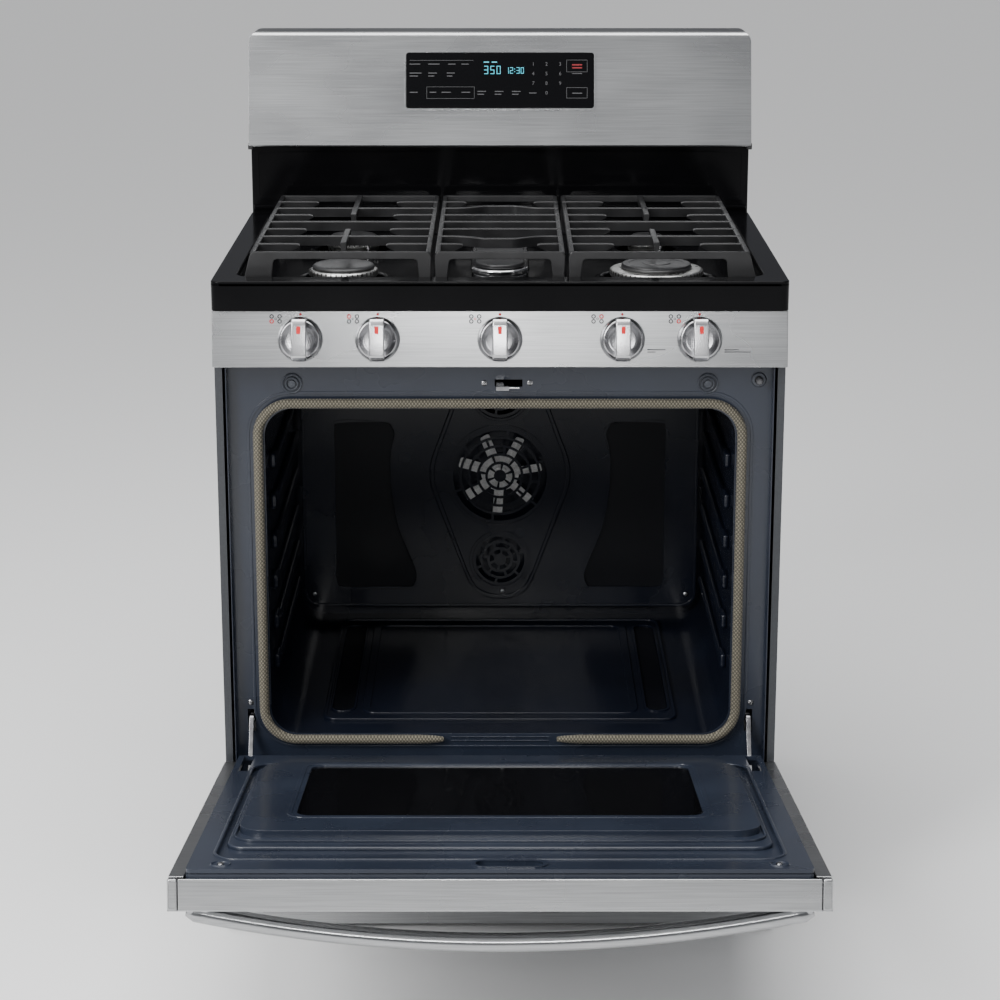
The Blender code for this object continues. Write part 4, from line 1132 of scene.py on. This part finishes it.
def make_floor():
    """Removable floor plate with a stepped middle and two round-ended slots."""
    low = CAVITY_FLOOR + GAP
    outer_x = both_ways(0.249)
    outer_y = (deep(0.092), deep(0.535))
    slot_y = (deep(0.126), deep(0.502))
    slot_xs = [pair(side * 0.208, side * 0.238) for side in (-1, 1)]
    slots = [rounded(slot_x, slot_y, 0.0148, 8) for slot_x in slot_xs]
    sheet = plate_mesh([rounded(outer_x, outer_y, 0.020, 8)] + slots, 0.002, flat_at(low + 0.001), 0.0008)
    step = band_mesh(both_ways(0.196), (deep(0.116), deep(0.512)), (0.022, 0.014), 0.012, 0.0035,
                     flat_at(low + 0.002), 0.0016)
    curb = band_mesh(outer_x, outer_y, (0.020, 0.016), 0.005, 0.0035, flat_at(low + 0.002), 0.0015)
    lips = [band_mesh(grown(slot_x, 0.0035), grown(slot_y, 0.0035), (0.018, 0.0148), 0.0035, 0.0032,
                      flat_at(low + 0.0022), 0.0013) for slot_x in slot_xs]
    show("floor_sheet", merged(sheet, step, curb, *lips), CAVITY_SHADED_ENAMEL, "oven_floor_plate")
    # The slot beds are dark sheets of painted shade at the bottom of the slots.
    beds = [plate_mesh([rounded(grown(slot_x, -0.0005), grown(slot_y, -0.0005), 0.0144, 8)], 0.0006,
                       flat_at(low + 0.0005), 0.0) for slot_x in slot_xs]
    show("floor_slot_beds", merged(*beds), RECESS_SHADE_ENAMEL)


def smooth_outline(points, steps=8):
    """A closed smooth curve through points, by Catmull-Rom pieces."""
    count = len(points)
    outline = []
    for index in range(count):
        p0, p1, p2, p3 = (Vector(points[(index + shift - 1) % count]) for shift in range(4))
        for step in range(steps):
            t = step / steps
            place = 0.5 * (2 * p1 + (p2 - p0) * t + (2 * p0 - 5 * p1 + 4 * p2 - p3) * t ** 2
                           + (3 * p1 - p0 - 3 * p2 + p3) * t ** 3)
            outline.append((place.x, place.y))
    return outline


def vase_outline(grow):
    """Embossed field of the fan cover: widest at the fan and narrow at both ends."""
    quarter = [(0.0, 0.203), (0.030, 0.196), (0.048, 0.176), (0.070, 0.120), (0.091, 0.063), (0.105, 0.024)]
    half = quarter + [(0.108, 0.0)] + [(x, -y) for x, y in reversed(quarter)]
    loop = half + [(-x, y) for x, y in reversed(half[1:-1])]
    wider = 1 + grow / 0.108
    taller = 1 + grow / 0.203
    return smooth_outline([(x * wider, VASE_HEIGHT + y * taller) for x, y in loop], 6)


def field_outline(side, grow):
    """Sunken side field: straight outside, with a waist towards the fan."""
    inner = [(0.168, 0.582), (0.164, 0.570), (0.168, 0.552), (0.171, 0.526), (0.169, 0.474), (0.158, 0.417),
             (0.1375, 0.3645), (0.1315, 0.342)]
    loop = [(0.181, 0.590)] + [(x - grow, z) for x, z in inner] + [(0.138, 0.325 - grow)]
    loop += [(x, z - grow) for x, z in ((0.150, 0.3235), (0.200, 0.3235), (0.246, 0.3235))]
    loop += [(0.257 + grow, z) for z in (0.334, 0.380, 0.460, 0.540, 0.580)] + [(0.248, 0.590 + grow)]
    return smooth_outline([(side * x, z) for x, z in loop], 5)


def slot_ring(centre, inner, outer, offset):
    """Six arc-shaped slots round a centre, parted by narrow spokes."""
    spokes = 6
    gap = math.degrees(0.0042 / outer)
    slots = []
    for index in range(spokes):
        start = 360 * index / spokes + gap / 2 + offset
        end = 360 * (index + 1) / spokes - gap / 2 + offset
        slots.append(arc(centre, outer, start, end, 6) + arc(centre, inner, end, start, 6))
    return slots


def grille_mesh(centre, radius, rings, width, pitch):
    """Round fan grille: rings of slots parted by spokes."""
    outlines = [circle(centre, radius, 72)]
    for ring in range(rings):
        outer = radius - 0.006 - ring * pitch
        outlines += slot_ring(centre, outer - width, outer, 20 + 30 * ring)
    return plate_mesh(outlines, 0.0014, front_at(BAFFLE_DEPTH), 0.0)


def make_fan_cover():
    """Rear baffle with sunken side fields, a ridge round the fan field and three grilles."""
    across = both_ways(0.3085)
    height = (0.291, 0.729)
    grilles = (((0.0, FAN_HEIGHT), 0.079, 5, 0.0095, 0.0135), ((0.0, 0.368), 0.044, 3, 0.0068, 0.0108),
               ((0.0, 0.640), 0.044, 3, 0.0068, 0.0108))
    openings = [circle(centre, radius, 72) for centre, radius, *_ in grilles]
    fields = [field_outline(side, 0.0) for side in (-1, 1)]
    pieces = [
        plate_mesh([rounded(across, height, 0.022, 8), vase_outline(0.0)] + fields, 0.0016,
                   front_at(BAFFLE_DEPTH + 0.0010), 0.0007),
        plate_mesh([vase_outline(0.0015)] + openings, 0.0026, front_at(BAFFLE_DEPTH - 0.0003), 0.0008),
        plate_mesh([vase_outline(0.0015), vase_outline(-0.0065)], 0.0040, front_at(BAFFLE_DEPTH - 0.0014),
                   0.0018, 3),
        band_mesh(across, height, (0.022, 0.018), 0.005, 0.0045, front_at(BAFFLE_DEPTH - 0.0006), 0.0018),
    ]
    pieces += [plate_mesh([field_outline(side, 0.0035), field_outline(side, -0.0005)], 0.0044,
                          front_at(BAFFLE_DEPTH), 0.0015, 3) for side in (-1, 1)]
    pieces += [plate_mesh([circle(centre, radius + 0.004, 72), circle(centre, radius - 0.001, 72)], 0.0026,
                          front_at(BAFFLE_DEPTH - 0.0022), 0.0011, 3) for centre, radius, *_ in grilles]
    pieces += [grille_mesh(*grille) for grille in grilles]
    show("baffle_sheet", merged(*pieces), CAVITY_SHADED_ENAMEL, "fan_cover")
    # The sunk side fields get a dark sheet of painted shade.
    sunk = [plate_mesh([field_outline(side, 0.004)], 0.001, front_at(BAFFLE_DEPTH + 0.0030), 0.0)
            for side in (-1, 1)]
    show("baffle_fields", merged(*sunk), RECESS_SHADE_ENAMEL)
    spots = ((0.004, 0.3165), (-0.292, 0.312), (0.292, 0.312), (-0.292, 0.70), (0.292, 0.70))
    screws = [screw_mesh(front_at(BAFFLE_DEPTH - 0.0022, *spot)) for spot in spots]
    show("baffle_screws", merged(*screws), ZINC)


def make_fan():
    """Fan lightened with painted light so it shows in the dark behind the grille: seven pitched blades, each
    with a folded rib, on a thin disc.
    """
    place = front_at(FAN_DEPTH, 0, FAN_HEIGHT)
    hub = turned_mesh([(0.0, 0.0095), (0.009, 0.0095), (0.012, 0.008), (0.0125, -0.0070), (0.030, -0.0080),
                       (0.030, -0.0092), (0.004, -0.0095), (0.004, -0.036), (0.0, -0.036)], place, 36)
    count = 7
    pitch = Matrix.Rotation(math.radians(34), 4, "X")
    outline = rounded((0.009, 0.0655), both_ways(0.0085), 0.003, 3)
    blades = []
    for index in range(count):
        turned = place @ Matrix.Rotation(2 * math.pi * index / count + 0.16, 4, "Z") @ pitch
        blades.append(plate_mesh([outline], 0.0010, turned, 0.0))
        blades.append(box_mesh((0.012, 0.064), both_ways(0.0012), (0.0, 0.0022), 0.0006, 2, turned))
    show("fan_rotor", merged(hub, *blades), FAN_PAINTED_LIGHT, "convection_fan", body="fan")


def gasket_path(reach, low, high, radius, start, end, step):
    """Evenly spaced points of the rope's loop, open at the middle of its lower run."""
    corners = ((reach - radius, low + radius, -90), (reach - radius, high - radius, 0),
               (-reach + radius, high - radius, 90), (-reach + radius, low + radius, 180))
    chain = [(start, low)]
    for x, z, turn in corners:
        chain += arc((x, z), radius, turn, turn + 90, 16)
    chain.append((end, low))
    points = np.array(chain)
    lengths = np.concatenate([[0.0], np.cumsum(np.linalg.norm(np.diff(points, axis=0), axis=1))])
    stations = np.linspace(0.0, lengths[-1], int(lengths[-1] / step) + 1)
    xs = np.interp(stations, lengths, points[:, 0])
    zs = np.interp(stations, lengths, points[:, 1])
    return np.stack([xs, zs], 1), stations


def make_gasket():
    """Braided rope: two families of strands cross over a slightly flattened core."""
    path, stations = gasket_path(0.3244, 0.2644, 0.7416, 0.0446, 0.0785, -0.0776, 0.0014)
    depth = deep(FRAME_DEPTH - 0.0072)
    sides = 18
    length = stations[-1]
    rows = []
    for index, (x, z) in enumerate(path):
        before = path[max(index - 1, 0)]
        after = path[min(index + 1, len(path) - 1)]
        heading = np.array(after) - np.array(before)
        heading = heading / np.linalg.norm(heading)
        outward = Vector((heading[1], 0, -heading[0]))
        run = stations[index]
        pinch = min(1.0, 0.45 + 0.55 * math.sqrt(min(run, length - run) / 0.030))
        ring = []
        for side in range(sides):
            turn = 2 * math.pi * side / sides
            strand = math.cos(900 * run + 5 * turn) * math.cos(900 * run - 5 * turn)
            radius = 0.0060 + 0.0009 * strand
            ring.append(Vector((x, depth, z)) + outward * (radius * 1.03 * pinch * math.cos(turn))
                        + Vector((0, 1, 0)) * (radius * 0.98 * pinch * math.sin(turn)))
        rows.append(ring)
    show("gasket_rope", shade(grid_mesh(rows), 70), ROPE, "door_gasket")


# Door

def make_door_skin():
    """Brushed door skin: front sheet with a window, returned edges and rear flanges."""
    window = rounded(both_ways(0.235), (0.130, 0.420), 0.012)
    depth = (DOOR_FACE, DOOR_BACK)
    front = plate_mesh([rectangle(both_ways(HALF_WIDTH), (DOOR_BOTTOM, DOOR_TOP - 0.0005)), window], 0.0015,
                       door_at(DOOR_FACE + 0.00075), 0.0004)
    top = box_mesh(both_ways(0.3662), depth, (DOOR_TOP - 0.0030, DOOR_TOP), 0.0014, 3, DOOR_PLACE)
    foot = [box_mesh(pair(*reach), depth, (DOOR_BOTTOM, DOOR_BOTTOM + 0.0015), 0.0005, 2, DOOR_PLACE)
            for reach in ((-HALF_WIDTH, -0.351), (-0.335, 0.335), (0.351, HALF_WIDTH))]
    sides = []
    for side in (-1, 1):
        outer = pair(side * (HALF_WIDTH - 0.002), side * HALF_WIDTH)
        flange = pair(side * 0.3605, side * HALF_WIDTH)
        run = (DOOR_BOTTOM, DOOR_TOP - 0.0122)
        sides.append(box_mesh(outer, depth, run, 0.0009, 3, DOOR_PLACE))
        sides.append(box_mesh(flange, (DOOR_BACK - 0.0018, DOOR_BACK), run, 0.0008, 3, DOOR_PLACE))
    show("door_skin", merged(front, top, *foot, *sides), STAINLESS, "door_outer_panel", body="oven_door")


def make_end_caps():
    """Corner caps at the ends of the door's top edge."""
    depth = (DOOR_FACE, DOOR_BACK)
    for name, side in (("left", -1), ("right", 1)):
        cap = box_mesh(pair(side * 0.3667, side * HALF_WIDTH), depth, (DOOR_TOP - 0.012, DOOR_TOP), 0.0028, 4,
                       DOOR_PLACE)
        bead = band_mesh(pair(side * 0.3682, side * 0.3772), grown(depth, -0.0025), (0.003, 0.0022), 0.001,
                         0.001, DOOR_PLACE @ flat_at(DOOR_TOP), 0.0003, 2, 4)
        show(f"door_cap_{name}", merged(cap, bead), STAINLESS, f"door_end_cap_{name}", body="oven_door")


def make_door_liner():
    """Enamelled inner panel: border, channel, step, raised middle and window recess."""
    edge_x = both_ways(0.358)
    edge_y = (-0.016, 0.575)
    receiver = rounded((-0.028, 0.050), (0.5405, 0.5655), 0.0115, 8)
    window = rounded(both_ways(0.250), (0.082, 0.355), 0.018, 8)
    holes = [rounded(both_ways(0.3305), (0.030, 0.530), 0.030, 8), receiver]
    holes += [rectangle((side * HINGE_ARM_X - 0.007, side * HINGE_ARM_X + 0.007), (-0.010, 0.080))
              for side in (-1, 1)]
    pieces = [
        plate_mesh([rounded(edge_x, edge_y, 0.006, 4)] + holes, 0.006, door_at(BORDER_FACE - 0.003),
                   0.0018, 3),
        band_mesh(edge_x, edge_y, (0.006, 0.005), 0.0025, 0.018, door_at(0.0275), 0.0006, 2, 4),
        plate_mesh([rounded(both_ways(0.334), (0.026, 0.534), 0.032, 8), window], 0.002,
                   door_at(BORDER_FACE - 0.0062), 0.0),
        plate_mesh([rounded(both_ways(0.3235), (0.048, 0.474), 0.024, 8), window], 0.006,
                   door_at(BORDER_FACE - 0.0035), 0.0022, 3),
        plate_mesh([rounded(both_ways(0.314), (0.060, 0.430), 0.034, 8), window], 0.014,
                   door_at(PLATEAU_FACE - 0.007), 0.0030, 4),
        band_mesh(both_ways(0.262), (0.070, 0.367), (0.024, 0.020), 0.006, 0.0016, door_at(PLATEAU_FACE),
                  0.0007, 2),
        plate_mesh([rounded((-0.033, 0.055), (0.536, 0.570), 0.0160, 8), receiver], 0.0030,
                   door_at(BORDER_FACE + 0.0002), 0.0013, 3),
        box_mesh((-0.030, 0.052), (0.016, 0.018), (0.538, 0.568), 0.0005, 1, DOOR_PLACE),
        plate_mesh([rounded(both_ways(0.3185), (0.053, 0.453), 0.030, 8),
                    rounded(both_ways(0.3160), (0.056, 0.4505), 0.028, 8)], 0.0035,
                   door_at(BORDER_FACE + 0.0008), 0.0011),
        band_mesh(both_ways(0.334), (0.036, 0.535), (0.034, 0.030), 0.004, 0.003, door_at(BORDER_FACE),
                  0.0012),
    ]
    show("door_liner", merged(*pieces), BLUE_ENAMEL, "door_inner_panel", body="oven_door")


def make_door_fittings():
    """Screws in pressed dimples on the liner, and the keeper bar in the latch's cup."""
    screws = []
    dimples = []
    for side in (-1, 1):
        place = (door_at(BORDER_FACE) @ Matrix.Translation((side * 0.320, 0.553, 0))
                 @ Matrix.Rotation(math.pi, 4, "X"))
        screws.append(screw_mesh(place, 0.004))
        dimples.append(turned_mesh([(0.0125, -0.0002), (0.0112, 0.0014), (0.0098, 0.0010),
                                    (0.0086, -0.0008), (0.0, -0.0010)], place, 36))
    keeper = box_mesh((-0.002, 0.030), (0.0185, 0.0215), (0.5505, 0.5550), 0.0006, 2, DOOR_PLACE)
    screws.append(keeper)
    show("door_screws", merged(*screws), LINK_STEEL, body="oven_door")
    show("door_dimples", merged(*dimples), BLUE_ENAMEL, body="oven_door")


def make_handle():
    """Bowed satin bar with flattened oval section, blended into a post at each end."""
    height = 0.535
    end = 0.362
    middle_reach = -0.056
    end_reach = -0.0185
    rows = []
    steps = 72
    sides = 28
    for step in range(steps + 1):
        x = end * (2 * step / steps - 1)
        reach = middle_reach + (end_reach - middle_reach) * (x / end) ** 2
        slope = 2 * (end_reach - middle_reach) * x / end ** 2
        along = Vector((1, slope, 0)).normalized()
        outward = Vector((along.y, -along.x, 0))
        close = min(1.0, 0.55 + 0.45 * math.sqrt(min(1.0, (end - abs(x)) / 0.010 + 0.001)))
        ring = []
        for side in range(sides):
            turn = 2 * math.pi * side / sides
            wide = math.copysign(abs(math.cos(turn)) ** 0.8, math.cos(turn)) * 0.0104 * close
            tall = math.copysign(abs(math.sin(turn)) ** 0.8, math.sin(turn)) * 0.0141 * close
            ring.append(DOOR_PLACE @ (Vector((x, reach, height)) + outward * wide + Vector((0, 0, tall))))
        rows.append(ring)
    bar = grid_mesh(rows)
    posts = [box_mesh(pair(side * 0.334, side * 0.361), (-0.0205, DOOR_FACE - GAP),
                      (height - 0.0125, height + 0.0125), 0.004, 4, DOOR_PLACE) for side in (-1, 1)]
    # The handle's darker steel is painted shade.
    show("handle_bar", merged(bar, *posts), HANDLE_SHADED_STEEL, "door_handle", body="oven_door")


def link_outline(start, end):
    """Side view of a hinge link: an eye at each end of a slim bowed bar."""
    start, end = Vector(start), Vector(end)
    along = end - start
    across = Vector((-along.y, along.x)).normalized()
    shares = (0.10, 0.2, 0.35, 0.5, 0.65, 0.78, 0.86)
    halves = (0.0036, 0.0030, 0.0028, 0.0029, 0.0034, 0.0046, 0.0062)
    upper = []
    lower = []
    for share, half in zip(shares, halves):
        middle = start + along * share - across * 0.0022 * math.sin(math.pi * share)
        upper.append(tuple(middle + across * half))
        lower.append(tuple(middle - across * half))
    heading = math.degrees(math.atan2(along.y, along.x))
    tail = arc(tuple(start), 0.0042, heading + 100, heading + 260, 10)
    head = arc(tuple(end), 0.0078, heading - 115, heading + 115, 14)
    return tail + lower + head + list(reversed(upper))


def pin_mesh(spot, reach):
    """A chamfered pin along X, reaching equally to both sides of a spot."""
    radius = 0.003
    rim = radius - 0.0005
    profile = [(0.0, -reach), (rim, -reach), (radius, -reach + 0.0005),
               (radius, reach - 0.0005), (rim, reach), (0.0, reach)]
    return turned_mesh(profile, Matrix.Translation(spot) @ Matrix.Rotation(math.radians(90), 4, "Y"), 24)


def make_hinge_links():
    """Plated hinge links between the frame's slots and the door, with their pins."""
    pivot = (DOOR_PIVOT.y, DOOR_PIVOT.z)
    elbow = (deep(FRAME_DEPTH), 0.291)
    for name, side in (("hinge_arm_left", -1), ("hinge_arm_right", 1)):
        across = side * HINGE_ARM_X
        place = Matrix.Translation((across, 0, 0)) @ FACING_SIDE
        bar = plate_mesh([link_outline(pivot, elbow), circle(elbow, 0.0032, 20)], 0.0056, place, 0.0009, 2)
        tail = box_mesh((across - 0.003, across + 0.003), (elbow[0] + 0.0065, elbow[0] + 0.050),
                        (0.284, 0.298), 0.001)
        pins = [pin_mesh((across, *pivot), 0.005), pin_mesh((across, *elbow), 0.0036)]
        show(f"{name}_link", merged(bar, tail, *pins), LINK_STEEL, name)


def make_rear_fittings():
    """Louvres, an access cover and screws on the plain rear panel."""
    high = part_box("rear_panel")[1]
    back = high.y
    louvres = []
    for column in (-0.2, 0.0, 0.2):
        for row in range(7):
            level = 0.60 + row * 0.028
            louvres.append(box_mesh((column - 0.055, column + 0.055), (back - 0.0004, back + 0.0035),
                                    (level, level + 0.010), 0.003, 3))
    show("rear_louvres", merged(*louvres), ZINC)
    cover_place = Matrix.Translation((0.12, back + 0.0008, 0.22)) @ FACING_FRONT
    cover = plate_mesh([rounded(both_ways(0.14), both_ways(0.09), 0.010)], 0.0018, cover_place, 0.0006)
    show("rear_cover", cover, ZINC)
    facing_back = Matrix.Rotation(math.radians(-90), 4, "X")
    spots = [(side * (high.x - 0.012), level) for side in (-1, 1) for level in (0.06, 0.3, 0.55, 0.8, 0.98)]
    spots += [(0.12 + side * 0.13, 0.22 + rise * 0.08) for side in (-1, 1) for rise in (-1, 1)]
    spots += [(across, high.z - 0.010) for across in (-0.25, 0.0, 0.25)]
    screws = [screw_mesh(Matrix.Translation((x, back + 0.0014, z)) @ facing_back, 0.0042) for x, z in spots]
    show("rear_screws", merged(*screws), LINK_STEEL)


def make_door():
    """Everything that swings with the door."""
    make_door_skin()
    make_end_caps()
    make_door_liner()
    make_door_fittings()
    make_handle()


# CAD nodes that stay, with better materials

KEPT = {
    "side_panel_left": SIDE_PAINT, "side_panel_right": SIDE_PAINT, "rear_panel": ZINC,
    "base_frame": ZINC, "drawer_pan": ZINC, "fan_motor": ZINC, "bake_burner": DARK_ZINC,
    "broil_burner": DARK_ZINC, "gas_manifold": BRASS, "oven_lamp": DARK_GLASS,
    "door_latch": LINK_STEEL, "light_switch_plunger": PLASTIC,
    "door_outer_glass": DARK_GLASS, "door_inner_glass": WINDOW_GLASS,
}


def paint_kept_nodes():
    """Give the CAD nodes that stay their materials."""
    kept = dict(KEPT)
    kept.update({f"valve_stem_{number}": ZINC for number in range(1, len(KNOB_XS) + 1)})
    kept.update({f"leveling_leg_{corner}": ZINC
                 for corner in ("front_left", "front_right", "rear_left", "rear_right")})
    for name, material in kept.items():
        node = frame["nodes"][name]
        node.data.materials.clear()
        node.data.materials.append(material)


def add_floor():
    """Pale studio floor under and behind the range."""
    material, _ = start_material("studio_floor", (0.93, 0.93, 0.93), 0.7, Specular_IOR_Level=0.1)
    mesh = box_mesh(both_ways(40), both_ways(40), (-0.02, -0.0005), 0.0)
    mesh.materials.append(material)
    floor = bpy.data.objects.new("studio_floor", mesh)
    bpy.context.scene.collection.objects.link(floor)


add_camera()
add_studio()
add_floor()
make_cooktop()
make_backguard_panel()
make_fascia()
make_control_panel()
make_drawer()
make_display()
make_knobs()
make_panel_marks()
make_cooking_top()
make_front_frame()
make_frame_fittings()
make_threshold()
make_liner()
make_floor()
make_fan_cover()
make_fan()
make_gasket()
make_door()
make_hinge_links()
make_rear_fittings()
paint_kept_nodes()
